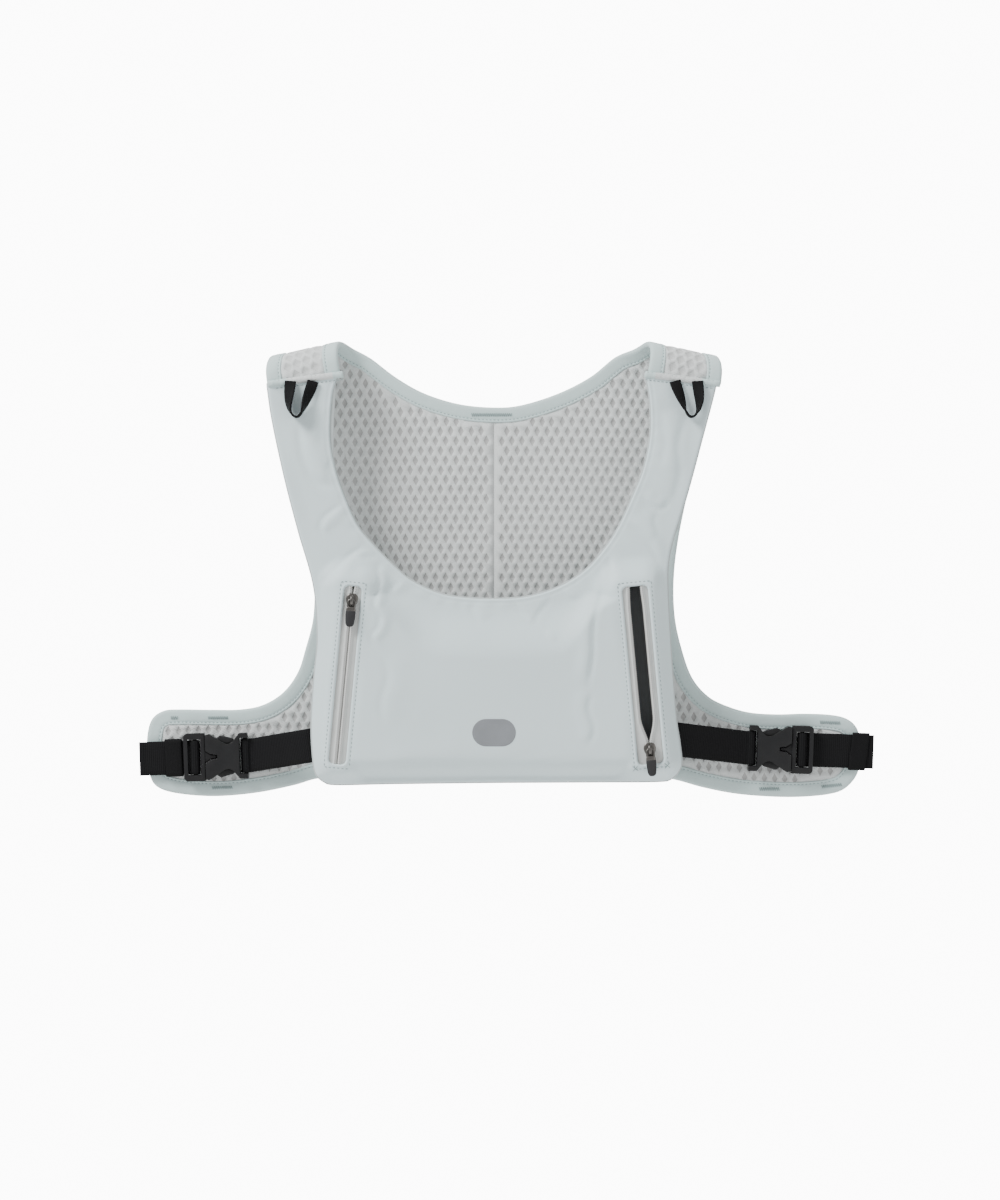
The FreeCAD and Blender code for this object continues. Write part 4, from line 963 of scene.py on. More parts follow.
def binding(name, path, wide, replaces):
    """A folded binding over the edge of the mesh, with a dip along its stitch line."""
    inner = edge_frame(path, wide)
    thick = BINDING_HALF
    nose = [(thick * (1 - math.cos(math.radians(a))) / BINDING_WIDE,
             thick * math.sin(math.radians(a))) for a in (-75, -50, -25, 0, 25, 50, 75)]
    top = [(0.28, 1.0), (0.42, 1.02), (0.56, 1.0), (0.7, 0.97), (0.79, 0.9), (0.835, 0.8),
           (0.88, 0.92), (0.94, 0.98), (0.975, 0.93), (1.0, 0.72)]
    section = [(a, h) for a, h in nose]
    section += [(a, thick * h) for a, h in top]
    section += [(a, -thick * h) for a, h in reversed(top)]
    run = run_along(path)
    wander = noise.uniform(0, 6.28, 4)
    pucker = (np.sin(run / 0.85 + wander[0] + 1.5 * np.sin(run / 17))
              + 0.6 * np.sin(run / 2.3 + wander[1]))
    slack = np.sin(run / 9.0 + wander[2]) * 0.5 + np.sin(run / 21.0 + wander[3]) * 0.5
    rows = []
    for a, h in section:
        flat = path + (inner - path) * a
        swell = 0.085 * pucker * math.exp(-((a - 0.66) / 0.2) ** 2)
        swell = swell + 0.16 * slack * math.exp(-((a - 0.4) / 0.3) ** 2)
        shrink = np.minimum(1.0, (run + 0.4) / 1.2) * np.minimum(1.0, (run[-1] - run + 0.4) / 1.2)
        rows.append(drape(flat, (h + math.copysign(1, h) * swell * (abs(h) > 0.1)) * shrink))
    rows = np.array(rows)
    sides, count = rows.shape[0], rows.shape[1]
    verts = rows.transpose(1, 0, 2).reshape(-1, 3)
    thing = piece(name, verts, tube_faces(count, sides), BINDING_CLOTH, replaces=replaces,
                  slot="binding")
    turn_outwards(thing)
    seam = path + (inner - path) * 0.835
    parts = []
    for face in (1, -1):
        line = drape(seam, face * (thick * 0.84))
        beyond = drape(seam, face * (thick * 0.84 + 1.0))
        parts += stitch_row(line, beyond - line, *BINDING_STITCH)
    joined(name + "_stitches", parts, THREAD, slot="thread")
    return thing


def tack(parts, centre, turn, long, high, height):
    """A bartack: close, leaning stitches over a short bar."""
    count = int(long / TACK_PITCH)
    ca, sa = math.cos(turn), math.sin(turn)
    for k in range(count):
        x = -long / 2 + long * (k + 0.5) / count
        lean = TACK_LEAN if k % 2 else -TACK_LEAN
        ends = []
        for up in (-high / 2, high / 2):
            u, v = x + lean * (1 if up > 0 else -1), up
            ends.append((centre[0] + u * ca - v * sa, centre[1] + u * sa + v * ca))
        folded = drape(ends, height)
        beyond = drape(ends, height + (1.0 if height > 0 else -1.0))
        parts.append(capsule(folded[0], folded[1], TACK_THREAD, beyond[0] - folded[0]))


# Each bartack: its place, its turn and its length.
TACKS = [(-1.5, -35.4, 0.0, 24.0), (-164.0, -215.3, 0.0, 12.0), (-161.5, -257.0, 0.03, 12.0),
         (-190.0, -215.4, 0.0, 4.0), (163.5, -257.8, 0.0, 12.0), (200.5, -255.8, 0.12, 12.0),
         (199.5, -218.2, -0.04, 12.0)]


def build_tacks():
    parts = []
    for x, z, turn, long in TACKS:
        for height in (-BINDING_HALF - 0.12, BINDING_HALF + 0.12):
            tack(parts, (x, z), turn, long, TACK_HIGH, height)
    joined("edge_bartacks", parts, DARK_THREAD, replaces=["bartacks"], slot="thread")


# ---------------------------------------------------------------- back mesh

HOLE_PITCH, ROW_PITCH = 6.0, 5.8
HOLE_FLOOR = 0.87        # the size of a hole's floor against its rim
HOLE_DEEP, OUTER_HOLE_DEEP = 0.26, 0.35
RIB_HIGH = 0.14
HOLE_FROM_EDGE, HOLE_FROM_SEAM, RIB_FROM_EDGE = 2.2, 2.0, 1.2
HALF_WIDE = 210
BOW = 0.00012            # the rows of holes sag towards the sides
MESH_SWELL, MESH_WOBBLE = 0.12, 0.12
OUTER_STRETCH = np.array([1.55, 1.02])
HOLE_RING = [(0.0, 3.4), (0.68, 2.05), (1.32, 0.95), (1.78, 0.0), (1.32, -0.95), (0.68, -2.05),
             (0.0, -3.4), (-0.68, -2.05), (-1.32, -0.95), (-1.78, 0.0), (-1.32, 0.95),
             (-0.68, 2.05)]


def mesh_outline(side):
    """Outline of one half of the mesh, tucked a little under its bindings."""
    neck = neck_path()
    arm = arm_path(side)
    neck_in = edge_frame(neck, -BINDING_WIDE + 0.9)
    arm_in = edge_frame(arm, (BINDING_WIDE - 0.9) * side * -1)
    keep = neck_in[:, 0] * side >= 0
    half = neck_in[keep]
    half[np.abs(half[:, 0]).argmin(), 0] = 0
    if side < 0:
        half = half[::-1]
    arm_in[-1, 0] = 0
    loop = np.vstack([half, arm_in])
    centre = np.stack([np.zeros(60), np.linspace(loop[-1, 1], loop[0, 1], 62)[1:-1]], 1)
    loop = np.vstack([loop, centre])
    return closed_loop(loop, 2.4)


def build_mesh(side):
    """Half of the spacer mesh with its rows of long diamond holes."""
    name = SIDE_NAMES[side]
    loop = mesh_outline(side)
    low, high = loop.min(0), loop.max(0)
    ring = np.array(HOLE_RING)
    centres = []
    rows = int((high[1] - low[1]) / ROW_PITCH) + 2
    for row in range(rows):
        z = high[1] - row * ROW_PITCH
        for column in range(-1, int(HALF_WIDE / HOLE_PITCH) + 1):
            x = (column * HOLE_PITCH + (row % 2) * HOLE_PITCH / 2 + 1.6) * side
            centres.append((x, z - BOW * x * x))
    centres = np.array(centres)
    centres = centres + noise.normal(0, MESH_WOBBLE, centres.shape)
    keep = inside(centres, loop)
    gap, _, _ = nearest(centres, loop)
    keep &= (gap > HOLE_FROM_EDGE) & (np.abs(centres[:, 0]) > HOLE_FROM_SEAM)
    centres = centres[keep]
    points = loop.tolist()
    edges = [(i, (i + 1) % len(loop)) for i in range(len(loop))]
    marks = [0.0] * len(points)
    owner = [-1] * len(points)
    for number, centre in enumerate(centres):
        for scale, mark in ((1.0, 0.0), (HOLE_FLOOR, 1.0)):
            first = len(points)
            for px, pz in ring * scale:
                points.append((centre[0] + px, centre[1] + pz))
                marks.append(mark)
                owner.append(number)
            size = len(ring)
            edges.extend((first + i, first + (i + 1) % size) for i in range(size))
    between = centres + np.array([HOLE_PITCH / 2, 0])
    between = between[inside(between, loop)]
    gap, _, _ = nearest(between, loop)
    between = between[gap > RIB_FROM_EDGE]
    for x, z in between:
        points.append((x, z))
        marks.append(-1.0)
        owner.append(-1)
    verts, _, faces, origins, _, _ = delaunay_2d_cdt([Vector(p) for p in points], edges, [], 0,
                                                     1e-4)
    flat = np.array(verts)
    source = [o[0] if o else 0 for o in origins]
    mark = np.array([marks[i] for i in source])
    own = np.array([owner[i] for i in source])
    centre = np.array([flat[f].mean(0) for f in faces])
    faces = [f for f, k in zip(faces, inside(centre, loop)) if k]
    used, faces = drop_loose(len(flat), faces)
    flat, mark, own = flat[used], mark[used], own[used]
    edge, _, _ = nearest(flat, loop)
    drop = np.where(edge < 0.05, 0.5, 0.0)
    seam = 0.05 * np.exp(-(flat[:, 0] / 1.0) ** 2) * (1 + 0.6 * np.sin(flat[:, 1] * 1.9))
    swell = np.zeros(len(flat))
    for a, b, phase, size in SWELLS:
        swell += MESH_SWELL * np.sin((flat[:, 0] * a - flat[:, 1] * b) * 2 * math.pi / size + phase)
    swell *= ease(edge / 12)
    rib = np.where(mark < 0, RIB_HIGH, 0.0)
    floor = mark > 0.5
    inner_height = -MESH_HALF - rib + np.where(floor, HOLE_DEEP, 0.0) + drop + seam + swell
    wide = flat.copy()
    held = own >= 0
    wide[held] = centres[own[held]] + (flat[held] - centres[own[held]]) * OUTER_STRETCH
    outer_height = MESH_HALF + rib * 0.5 - np.where(floor, OUTER_HOLE_DEEP, 0.0) - drop + swell
    front = drape(flat, inner_height)
    back = drape(wide, outer_height)
    verts, whole = closed_sheet(flat, faces, front, back)
    thing = piece(f"{name}_mesh_panel", verts, whole, MESH_KNIT,
                  replaces=[f"{name}_back_mesh", f"{name}_shoulder_mesh"], slot="mesh")
    # The hole mark darkens hole floors (inner layer plus painted shade) and paints shade along the
    # centre seam; the back face gets less.
    shade = np.clip(mark, 0, 1)
    seam_shade = 0.12 * np.exp(-(flat[:, 0] / 1.2) ** 2)
    set_points(thing, "hole", np.concatenate([np.maximum(shade, seam_shade), shade * 0.45]))


def build_back():
    neck = neck_path()
    binding("neck_edge_binding", neck, -BINDING_WIDE,
            ["neck_binding", "left_shoulder_neck_binding", "right_shoulder_neck_binding"])
    for side in (LEFT, RIGHT):
        name = SIDE_NAMES[side]
        build_mesh(side)
        binding(f"{name}_outer_binding", arm_path(side), -BINDING_WIDE * side,
                [f"{name}_edge_binding", f"{name}_shoulder_arm_binding"])


# ---------------------------------------------------------------- webbing

BUCKLES = {LEFT: (158.3, -238.0), RIGHT: (163.5, -233.5)}
WEB_ROOT = {LEFT: -230.8, RIGHT: -227.3}
TAIL_END = {LEFT: 52.0, RIGHT: 61.5}
ANCHOR_END = {LEFT: 46.5, RIGHT: 44.5}
KEEPER_AT = {LEFT: 26.6, RIGHT: 47.8}
KEEPER_BACK = {LEFT: 4.2, RIGHT: 3.0}
BUCKLE_Y = 6.8
BUCKLE_LEAN = math.radians(2.0)
WEB_HALF = 10.0
WEB_WALL = 1.2
CHEST_ROOT_X, CHEST_ROOT_Y = 107.5, -11.5
# Places along a strap, outwards from the buckle's middle.
CHEST_WEB_BENDS, CHEST_WEB_ENDS = -14.4, -13.1
HOUSING_BAR, PLUG_BAR = -11.3, 18.85
TAIL_START, ANCHOR_START = 20.8, 17.8
WRAP_BOX = (2.35, 2.1, 2.0)          # half width, half height and corner of a turn of webbing
TAIL_LIP = 0.28
KEEPER_HALF_HIGH, KEEPER_HALF_WIDE, KEEPER_WALL = 10.75, 5.0, 0.9


def strap_place(side, out, back, up):
    """World place of a point in a buckle's own frame: outwards, back and up."""
    across, down = BUCKLES[side]
    co, si = math.cos(BUCKLE_LEAN), math.sin(BUCKLE_LEAN)
    return (side * (across + out * co + up * si), BUCKLE_Y + back, down - out * si + up * co)


def strap_up(side):
    return (side * math.sin(BUCKLE_LEAN), 0.0, math.cos(BUCKLE_LEAN))


def strap_out(side):
    return (side * math.cos(BUCKLE_LEAN), 0.0, -math.sin(BUCKLE_LEAN))


RIBBON_COLUMNS = [(-1.0, 0.3), (-0.985, 0.75), (-0.95, 1.0), (-0.7, 0.98), (-0.35, 0.98),
                  (0.0, 0.98), (0.35, 0.98), (0.7, 0.98), (0.95, 1.0), (0.985, 0.75), (1.0, 0.3)]


def ribbon(name, path, wide, half, thick, material, body, replaces, slot, closed=False,
           swell=None):
    """A strip along a 3-D path, with rounded selvedges and its own length and width marks."""
    path = np.array(path, float)
    wide = np.broadcast_to(np.array(wide, float), path.shape)
    wide = wide / np.linalg.norm(wide, axis=1, keepdims=True)
    if closed:
        along = np.roll(path, -1, axis=0) - np.roll(path, 1, axis=0)
    else:
        along = np.gradient(path, axis=0)
    along /= np.linalg.norm(along, axis=1, keepdims=True)
    out = np.cross(along, wide)
    out /= np.linalg.norm(out, axis=1, keepdims=True)
    run = run_along(path)
    half = np.broadcast_to(np.array(half, float), (len(path),))
    fat = np.ones(len(path)) if swell is None else np.array(swell, float)
    columns = RIBBON_COLUMNS + [(a, -h) for a, h in reversed(RIBBON_COLUMNS)]
    verts, marks_along, marks_across = [], [], []
    for i in range(len(path)):
        for a, h in columns:
            verts.append(path[i] + wide[i] * a * half[i] + out[i] * h * fat[i] * thick / 2)
            marks_along.append(run[i])
            marks_across.append(a * half[i])
    sides, count = len(columns), len(path)
    faces = tube_faces(count, sides, closed=closed, caps=False)
    if not closed:
        for first, flip in ((0, False), ((count - 1) * sides, True)):
            for k in range(len(RIBBON_COLUMNS) - 1):
                face = [first + k, first + sides - 1 - k, first + sides - 2 - k, first + k + 1]
                faces.append(face[::-1] if flip else face)
    thing = piece(name, verts, faces, material, body=body, replaces=replaces, slot=slot)
    set_points(thing, "along", marks_along)
    set_points(thing, "across", marks_across)
    return thing


def build_straps(side):
    name = SIDE_NAMES[side]
    across, _ = BUCKLES[side]
    up = strap_up(side)
    # From behind the chest panel to the housing's bar.
    end = np.array(strap_place(side, CHEST_WEB_BENDS, -0.9, 0))
    root = np.array([CHEST_ROOT_X * side, CHEST_ROOT_Y, WEB_ROOT[side]])
    lean = math.atan2(root[2] - end[2], abs(end[0] - root[0]))
    rows = [root - np.array([side * 8 * math.cos(lean), -0.1, -8 * math.sin(lean)]), root]
    for t, back in ((0.08, 0.04), (0.25, 0.21), (0.5, 0.5), (0.75, 0.79), (0.92, 0.96)):
        step = root + (end - root) * t
        step[1] = root[1] + (end[1] - root[1]) * back
        rows.append(step)
    rows += [end, np.array(strap_place(side, CHEST_WEB_ENDS, -0.9, 0))]
    rows = np.array(rows)
    path = spaced(smooth(rows, 1.0), 1.2)
    turn = ease((np.abs(path[:, 0]) - CHEST_ROOT_X) / (across - 122))
    wide = np.stack([side * (math.sin(lean) * (1 - turn) + abs(up[0]) * turn),
                     np.zeros(len(path)), math.cos(lean) * (1 - turn) + up[2] * turn], 1)
    web = ribbon(f"{name}_chest_webbing", path, wide, WEB_HALF, WEB_WALL, BLACK_WEBBING, None,
                 [f"{name}_front_webbing"], "webbing")
    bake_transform(web)
    for part, body, middle in (("housing", f"{name}_housing", HOUSING_BAR),
                               ("plug", "vest", PLUG_BAR)):
        track = rounded_box(*WRAP_BOX)
        places = [strap_place(side, middle + a, b, 0) for a, b in track]
        ribbon(f"{name}_{part}_wrap", places, up, WEB_HALF, WEB_WALL, BLACK_WEBBING, body,
               [f"{name}_{part}_webbing"], "webbing", closed=True)
    stop = TAIL_END[side]
    outs = np.linspace(TAIL_START, stop, 40)
    sway = 0.18 * np.sin(outs / 6.0 + side)
    places = [strap_place(side, o, 2.1 + s * ease((o - 24) / 8) * 0.5, 0)
              for o, s in zip(outs, sway)]
    lip = 1 + TAIL_LIP * ease((outs - stop + 3.4) / 0.8)
    ribbon(f"{name}_free_tail", places, up, WEB_HALF, WEB_WALL, BLACK_WEBBING, "vest",
           [f"{name}_strap_tail"], "webbing", swell=lip)
    stop = ANCHOR_END[side]
    outs = np.linspace(ANCHOR_START, stop, 30)
    places = [strap_place(side, o, 3.3 + 1.1 * ease((o - stop + 8) / 5), 0) for o in outs]
    ribbon(f"{name}_wing_anchor", places, up, WEB_HALF, WEB_WALL, BLACK_WEBBING, "vest",
           [f"{name}_strap_anchor"], "webbing")
    parts = []
    for out_at in (stop - 1.3, stop - 4.0):
        line = np.array([strap_place(side, out_at, 3.72, u) for u in np.linspace(-9, 9, 12)])
        parts += stitch_row(line, np.tile([0.0, -1.0, 0.0], (12, 1)), *ANCHOR_STITCH)
    joined(f"{name}_anchor_stitches", parts, STRAP_THREAD, slot="thread")
    front, back = 1.2 - KEEPER_WALL / 2, KEEPER_BACK[side] + KEEPER_WALL / 2
    track = rounded_box(KEEPER_HALF_HIGH, (back - front) / 2, 0.9, 0.8)
    slant = 0.10 if side > 0 else 0.02
    middle = KEEPER_AT[side] + KEEPER_HALF_WIDE
    places = [strap_place(side, middle + u * slant, (front + back) / 2 + b, u) for u, b in track]
    ribbon(f"{name}_elastic_keeper", places, strap_out(side), KEEPER_HALF_WIDE, KEEPER_WALL,
           BLACK_ELASTIC,
           f"{name}_keeper_band", [f"{name}_keeper"], "elastic", closed=True)


# ---------------------------------------------------------------- shoulder seams and loops

def front_fold_place(side, along, down, forward=0.0):
    """A place on a shoulder strap's front face, from the fold's axis."""
    start, out, up = fold_axes(side)
    x, z = start + out * along - up * down
    return x, STRAP_DEPTH - forward, z


def ridge_drop(along):
    return 3.6 - 0.08 * along


def build_ridge(side):
    name = SIDE_NAMES[side]
    alongs = np.linspace(-19.0, 25.6, 52)
    centre = np.array([front_fold_place(side, a, ridge_drop(a)) for a in alongs])
    _, _, up = fold_axes(side)
    rise = np.array([up[0], 0, up[1]])
    section = [(2.0 * math.sin(math.radians(t)), 1.7 * math.cos(math.radians(t)))
               for t in range(-100, 101, 20)]
    sides = len(section)
    verts = []
    for i, (a, middle) in enumerate(zip(alongs, centre)):
        end = min(1.0, 0.35 + min(i, len(alongs) - 1 - i) * 0.5)
        knob = end * (1 + 0.09 * math.sin(a * 2.3) + 0.07 * math.sin(a * 0.9))
        for h, f in section:
            verts.append(middle + rise * h * (0.9 + 0.1 * end) - np.array([0, f * knob, 0]))
    thing = piece(f"{name}_seam_ridge", verts, tube_faces(len(alongs), sides), MESH_KNIT,
                  replaces=[f"{name}_shoulder_seam"], slot="mesh")
    thing.data.materials.append(BINDING_CLOTH)
    for face in thing.data.polygons:
        middle = alongs[min(face.vertices[0] // sides, len(alongs) - 1)]
        face.material_index = 0 if -13.5 < middle < 14.0 else 1
    turn_outwards(thing)
    set_points(thing, "hole", np.zeros(len(thing.data.vertices)))
    parts = []
    for shift, forward, thread in ((1.35, 0.95, 0.19), (-3.1, 0.1, 0.2)):
        line = np.array([front_fold_place(side, a, ridge_drop(a) - shift, forward)
                         for a in np.linspace(-19, 22, 60)])
        if shift < 0:
            line[:, 1] = front_face(line[:, [0, 2]]) - 0.06
        parts += stitch_row(line, np.tile([0.0, -1.0, 0.0], (60, 1)), 1.7, 0.7, thread)
    joined(f"{name}_seam_stitches", parts, DARK_THREAD, slot="thread")


def build_loop(side):
    """Gear loop: webbing sewn flat at its two ends that twists edge-on at the bottom."""
    name = SIDE_NAMES[side]
    node_low, node_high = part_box(f"{name}_gear_loop")
    middle = (node_low[0] + node_high[0]) / 2 / MM
    top = node_high[2] / MM
    rows = [(6.7, 0.5), (6.9, -2), (7.4, -7), (7.6, -12), (6.9, -16.6), (5.0, -19.8),
            (2.8, -20.6), (0.9, -19.3), (-0.8, -16), (-2.6, -11), (-4.2, -6.5), (-5.8, -2),
            (-6.5, 0.5)]
    rows = np.array(rows) * np.array([side, 1.0])
    flat = spaced(smooth(rows, 0.5), 0.45)
    share = np.linspace(-1, 1, len(flat))
    twist = (1 - np.abs(share)) ** 1.15 * 1.25
    twist = np.clip(twist, 0, 1) * math.pi / 2
    lift = 2.9 * np.sin(np.clip(1 - np.abs(share), 0, 0.75) / 0.75 * math.pi / 2) ** 1.3
    along = np.gradient(flat, axis=0)
    along /= np.linalg.norm(along, axis=1, keepdims=True)
    across = np.stack([along[:, 1], -along[:, 0]], 1)
    wide = np.stack([across[:, 0] * np.cos(twist), np.sin(twist), across[:, 1] * np.cos(twist)],
                    1)
    path = np.stack([middle + flat[:, 0], -17.2 - lift, top + flat[:, 1]], 1)
    ribbon(f"{name}_webbing_loop", path, wide, 3.3, 1.25, LOOP_WEBBING, f"{name}_loop",
           [f"{name}_gear_loop"], "webbing")


# ---------------------------------------------------------------- carried-over hard parts

def carry(node, name, material, body, width, segments=3):
    """A copy of a hard CAD node with its sharp edges softened."""
    mesh = bpy.data.objects[node].data.copy()
    mesh.materials.clear()
    mesh.materials.append(material)
    for face in mesh.polygons:
        face.material_index = 0
    thing = bpy.data.objects.new(name, mesh)
    bpy.context.scene.collection.objects.link(thing)
    form = bmesh.new()
    form.from_mesh(mesh)
    bmesh.ops.remove_doubles(form, verts=form.verts, dist=1e-6)
    bmesh.ops.dissolve_limit(form, angle_limit=math.radians(1.0), verts=form.verts,
                             edges=form.edges)
    form.to_mesh(mesh)
    form.free()
    modifier(thing, "BEVEL", width=width * MM, segments=segments, limit_method="ANGLE",
             angle_limit=math.radians(28))
    modifier(thing, "TRIANGULATE")
    bpy.context.view_layer.objects.active = thing
    thing.select_set(True)
    bpy.ops.object.shade_smooth_by_angle(angle=math.radians(38))
    thing.select_set(False)
    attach(thing, body)
    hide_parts(node)
    return thing


def build_buckle(side):
    name = SIDE_NAMES[side]
    carry(f"{name}_buckle_housing", f"{name}_housing_shell", BUCKLE_PLASTIC, f"{name}_housing",
          0.55)
    carry(f"{name}_buckle_plug", f"{name}_plug_body", BUCKLE_PLASTIC, "vest", 0.5)
    for part in ("upper", "lower"):
        carry(f"{name}_{part}_latch_arm", f"{name}_{part}_latch", BUCKLE_PLASTIC,
              f"{name}_{part}_arm", 0.5)


# ---------------------------------------------------------------- zips

def tape_edge(side, down):
    """Half the space between the two tapes at a place along the zip."""
    above = SLIDER_AT[side] - 3.4 - down
    if side == LEFT:
        return 0.34 + 0.5 * ease(above / 6)
    return 0.26 + 3.5 * ease(above / 16) ** 0.8 * (1 - 0.16 * ease((14 - down) / 14))


TAPE_PROFILE = [(0.0, 0.15), (0.12, -0.5), (0.45, -0.88), (1.0, -1.0), (1.55, -0.88),
                (1.95, -0.45), (2.15, -0.1), (2.6, 0.05), (3.6, 0.15), (5.0, 0.3), (6.2, 0.4)]


def zip_point(side, across, down, y):
    place = zip_place(side, np.array(across, float), np.array(down, float))
    return np.stack([place[..., 0], np.broadcast_to(y, place[..., 0].shape), place[..., 1]],
                    axis=-1)


# The tape is true to size as far as TAPE_FLAT; the rest stretches to TAPE_PAST beyond the window.
TAPE_FLAT, TAPE_REST, TAPE_PAST = 2.6, 3.6, 1.4
FIRST_TOOTH, TOOTH_PITCH, TOOTH_RADIUS = 0.4, 1.2, 0.4
SLIDER_HALF, DOT_RADIUS = 3.2, 0.22


def build_zip(side):
    name = SIDE_NAMES[side]
    downs = np.linspace(-1.0, ZIP_LONG + 1.0, 107)
    verts, faces = [], []
    dots, teeth = [], []
    for hand in (-1, 1):
        rows = []
        edge = np.array([tape_edge(side, d) for d in downs])
        sway = 0.05 * np.sin(downs / 3.1 + hand)
        spread = (WINDOW[side] / 2 + TAPE_PAST - edge - TAPE_FLAT) / TAPE_REST
        places = [np.where(c > TAPE_FLAT, TAPE_FLAT + (c - TAPE_FLAT) * spread, c)
                  for c, _ in TAPE_PROFILE]
        for c, (_, h) in zip(places, TAPE_PROFILE):
            rows.append(zip_point(side, hand * (edge + c), downs, TAPE_FRONT + h + sway))
        for c, (_, h) in zip(places[::-1], TAPE_PROFILE[::-1]):
            rows.append(zip_point(side, hand * (edge + c), downs,
                                  TAPE_BACK + (0.0 if h > -0.9 else -0.05)))
        rows = np.array(rows)
        sides, count = rows.shape[:2]
        first = len(verts)
        verts.extend(rows.transpose(1, 0, 2).reshape(-1, 3))
        faces += tube_faces(count, sides, first)
        for down in np.arange(FIRST_TOOTH, ZIP_LONG, TOOTH_PITCH):
            edge_here = tape_edge(side, down)
            if abs(down - SLIDER_AT[side]) > SLIDER_HALF:
                a = zip_point(side, hand * (edge_here + 1.02), down - 0.3, TAPE_FRONT - 1.0)
                b = zip_point(side, hand * (edge_here + 1.02), down + 0.3, TAPE_FRONT - 1.0)
                dots.append(capsule(a, b, DOT_RADIUS, (0, -1, 0), 5))
            at = down + (TOOTH_PITCH / 2 if hand > 0 else 0.0)
            a = zip_point(side, hand * (edge_here + 0.9), at, TAPE_FRONT + 0.05)
            b = zip_point(side, hand * (edge_here - 0.42), at, TAPE_FRONT + 0.05)
            teeth.append(capsule(a, b, TOOTH_RADIUS, (0, -1, 0), 6))
    tapes = piece(f"{name}_zip_cloth", verts, faces, TAPE_CLOTH,
                  replaces=[f"{name}_zip_tapes"], slot="tape")
    turn_outwards(tapes)
    joined(f"{name}_zip_teeth", teeth, COIL_NYLON, replaces=[f"{name}_zip_coils"],
          slot="coil")
    joined(f"{name}_zip_stitches", dots, TAPE_THREAD, slot="thread")
    build_slider(side)


def bar(side, start, rows, corners=0.75, turns=16):
    """A rounded bar along a zip: rows of (along, depth, half width, half thickness)."""
    rows = np.array(rows, float)
    spine = rows[:, :2]
    along = np.gradient(spine, axis=0)
    along /= np.maximum(np.linalg.norm(along, axis=1, keepdims=True), 1e-9)
    verts = []
    for (down, depth, wide, thick), (run, rise) in zip(rows, along):
        for k in range(turns):
            angle = 2 * math.pi * (k + 0.5) / turns
            c, s = math.cos(angle), math.sin(angle)
            across = math.copysign(abs(c) ** corners, c) * wide
            lift = math.copysign(abs(s) ** corners, s) * thick
            verts.append(zip_point(side, across, start + down - rise * lift, depth + run * lift))
    return verts, tube_faces(len(rows), turns)


def wire_frame(side, start, half_wide, top, low, depth, radius, turns=10):
    """A closed rounded wire frame lying flat: across from -half_wide, down from top to low."""
    path = rounded_box(half_wide, (low - top) / 2, min(half_wide, (low - top) / 2) * 0.8, 0.5)
    middle = (low + top) / 2
    side_of = -sideways(path, True)
    verts = []
    for (across, down), (ox, oz) in zip(path, side_of):
        for k in range(turns):
            angle = 2 * math.pi * k / turns
            c, s = radius * math.cos(angle), radius * math.sin(angle)
            verts.append(zip_point(side, across + ox * c, start + middle + down + oz * c,
                                   depth + s))
    return verts, tube_faces(len(path), turns, closed=True)


BRIDGE_HIGH, HINGE_IN, PLATE_HALF = 4.0, 1.5, 0.55


def build_slider(side):
    """A pear-shaped slider with an arched bridge, and a pull with a rubber grip."""
    name = SIDE_NAMES[side]
    start = SLIDER_AT[side]
    low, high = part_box(f"{name}_zip_slider")
    front = low[1] / MM + BRIDGE_HIGH
    back = high[1] / MM
    hinge = low[1] / MM + HINGE_IN
    face = front - PLATE_HALF
    plate = [(-4.15, face, 1.0, 0.2), (-4.0, face, 1.9, 0.42), (-3.5, face, 2.7, 0.55),
             (-2.4, face, 3.4, 0.62), (-0.9, face, 3.65, 0.66), (0.7, face, 3.4, 0.66),
             (2.1, face, 2.8, 0.62), (3.3, face, 2.2, 0.55), (3.95, face, 1.5, 0.42),
             (4.1, face, 0.8, 0.2)]
    under = [(down, back - 0.5, wide * 0.8, 0.45) for down, _, wide, _ in plate]
    post = [(-3.6, (front + back) / 2, 0.5, (back - front) / 2),
            (-2.4, (front + back) / 2, 0.8, (back - front) / 2),
            (-1.4, (front + back) / 2, 0.4, (back - front) / 2)]
    arch = [(-2.75, front - 0.5, 0.85, 0.7), (-2.7, front - 1.7, 0.85, 0.62),
            (-2.2, front - 2.9, 0.85, 0.55), (-1.0, front - 3.5, 0.95, 0.5),
            (0.3, front - 3.52, 1.0, 0.5), (1.5, front - 3.2, 0.95, 0.55),
            (2.4, front - 2.2, 0.85, 0.6), (2.7, front - 0.5, 0.85, 0.7)]
    verts, faces = many([bar(side, start, rows) for rows in (plate, under, post, arch)])
    piece(f"{name}_slider_body", verts, faces, GUNMETAL, body=f"{name}_slider",
          replaces=[f"{name}_zip_slider"], slot="metal")
    neck = [(3.6, hinge, 1.9, 0.35), (3.8, hinge, 2.5, 0.6), (4.6, hinge, 2.8, 0.68),
            (5.9, hinge, 2.95, 0.68), (6.6, hinge, 2.6, 0.5)]
    verts, faces = many([wire_frame(side, start, 2.1, -0.45, 5.0, hinge, 0.58),
                         bar(side, start, neck)])
    piece(f"{name}_pull_tab", verts, faces, GUNMETAL, body=f"{name}_pull",
          replaces=[f"{name}_zip_pull"], slot="metal")
    grip = [(5.9, hinge, 2.3, 0.5), (6.05, hinge, 2.8, 0.8), (6.7, hinge, 3.0, 0.95),
            (9.0, hinge, 2.95, 1.0), (11.6, hinge, 2.75, 1.0), (13.6, hinge, 2.5, 0.95),
            (14.7, hinge, 1.95, 0.85), (15.25, hinge, 1.2, 0.6), (15.4, hinge, 0.6, 0.3)]
    verts, faces = bar(side, start, grip)
    piece(f"{name}_pull_rubber", verts, faces, GRIP_RUBBER, body=f"{name}_pull",
          replaces=[f"{name}_pull_grip"], slot="rubber")


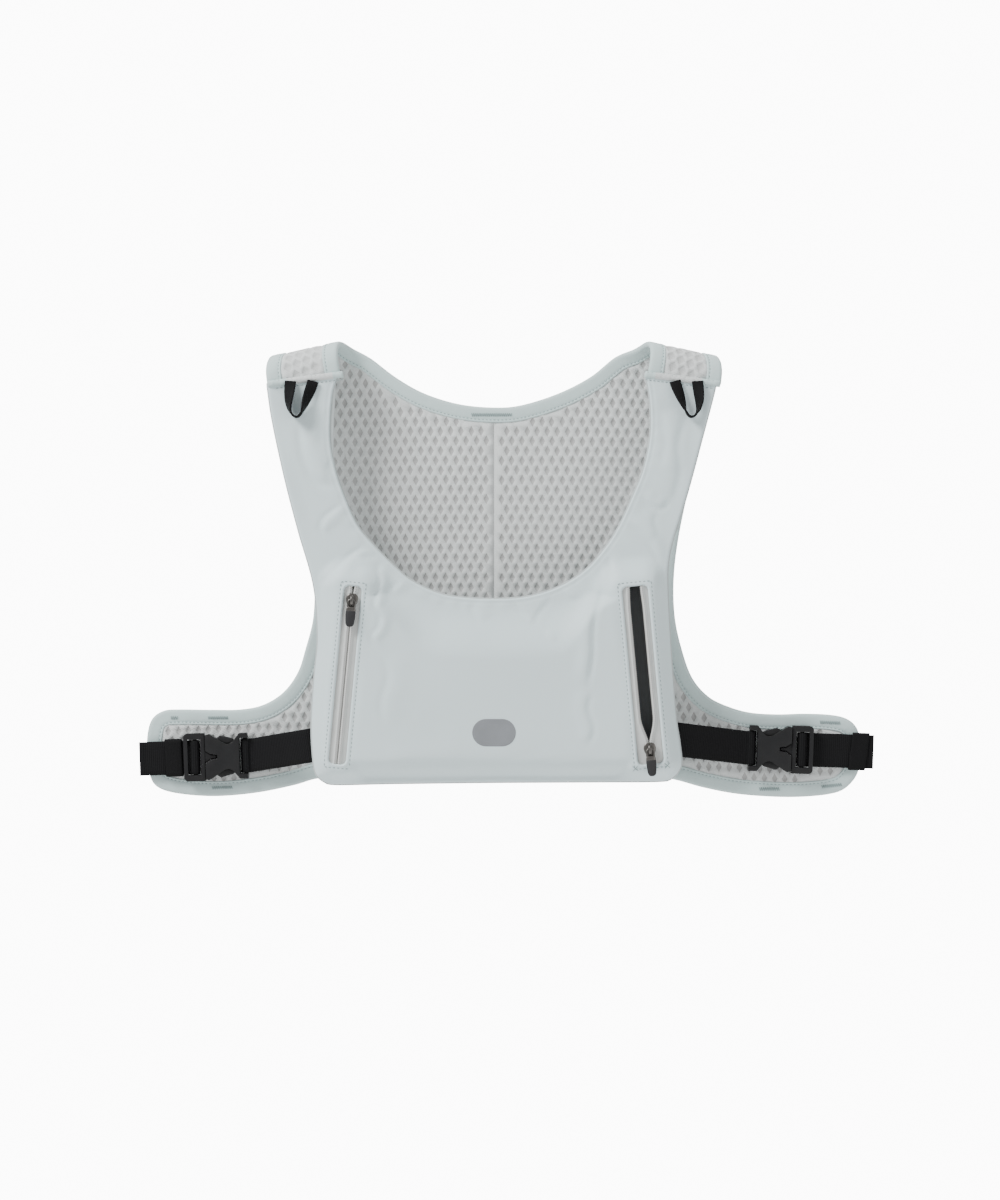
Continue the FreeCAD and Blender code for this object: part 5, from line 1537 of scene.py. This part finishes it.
def build_print():
    centre = (0.0, -222.8)
    half, bend = 12.75 - 8.0, 8.0
    rows = []
    for cx, start in ((half, -90), (-half, 90)):
        for turn in range(0, 181, 10):
            angle = math.radians(start + turn)
            rows.append((centre[0] + cx + bend * math.cos(angle),
                         centre[1] + bend * math.sin(angle)))
    loop = closed_loop(rows, 1.0)
    flat, faces = sheet_mesh(loop, [], 1.4, [0.15, 0.5])
    edge, _, _ = nearest(flat, loop)
    base = front_face(flat)
    outer = np.stack([flat[:, 0], base - 0.2 + rounded(edge, 0.18), flat[:, 1]], 1)
    inner = np.stack([flat[:, 0], base - 0.01 + 0.02, flat[:, 1]], 1)
    verts, whole = closed_sheet(flat, faces, outer, inner)
    piece("chest_print", verts, whole, PRINT_FILM, replaces=["reflective_print"], slot="print")


# ---------------------------------------------------------------- studio

# Each light: its name, its place, its size in metres and its power in watts.
LIGHTS = [("key", (-1.3, -0.9, 1.3), 0.8, 60.0), ("fill", (1.5, -1.3, 0.1), 1.6, 8.0),
          ("top", (0.1, 0.5, 1.6), 1.2, 14.0), ("back", (0.3, 1.7, 0.6), 1.5, 14.0)]
LIGHT_AIM = (0.0, 0.0, -0.13)
SKY, SEEN_SKY = 0.6, 11.0
FLOOR_HALF, FLOOR_LEVEL = 6000.0, -1600.0


def build_studio():
    for name, place, size, power in LIGHTS:
        lamp = bpy.data.lights.new(name, "AREA")
        lamp.shape = "SQUARE"
        lamp.size = size
        lamp.energy = power
        thing = bpy.data.objects.new(name, lamp)
        bpy.context.scene.collection.objects.link(thing)
        thing.location = place
        aim = Vector(LIGHT_AIM) - Vector(place)
        thing.rotation_euler = aim.to_track_quat("-Z", "Y").to_euler()
    world = bpy.data.worlds.new("studio")
    bpy.context.scene.world = world
    world.use_nodes = True
    tree = world.node_tree
    shade = tree.nodes["Background"]
    shade.inputs["Color"].default_value = (1.0, 1.0, 1.0, 1.0)
    seen = tree.nodes.new("ShaderNodeLightPath")
    link(tree, math_node(tree, "MULTIPLY_ADD", seen.outputs["Is Camera Ray"], SEEN_SKY, SKY),
         shade.inputs["Strength"])
    floor_material, *_ = surface(
        "pale_floor", (0.93, 0.93, 0.93), 0.9, tone=0.0, Emission_Color=(1.0, 1.0, 1.0, 1.0),
        Emission_Strength=0.4)
    corners = [(x * FLOOR_HALF, y * FLOOR_HALF, FLOOR_LEVEL)
               for x, y in ((-1, -1), (1, -1), (1, 1), (-1, 1))]
    floor = piece("floor", corners, [[0, 1, 2, 3]], floor_material, body=None)
    lens = bpy.data.cameras.new("camera")
    lens.lens = 100.0
    lens.sensor_fit = "VERTICAL"
    lens.sensor_height = 36.0
    camera = bpy.data.objects.new("camera", lens)
    bpy.context.scene.collection.objects.link(camera)
    camera.location = (0.0035, -1.968, -0.1455)
    camera.rotation_euler = (math.radians(90), 0.0, 0.0)
    bpy.context.scene.camera = camera


build_back()
build_tacks()
build_front()
build_front_layers()
front_stitches()
for hand in (LEFT, RIGHT):
    build_ridge(hand)
    build_loop(hand)
    build_straps(hand)
    build_buckle(hand)
    build_zip(hand)
build_print()
build_studio()
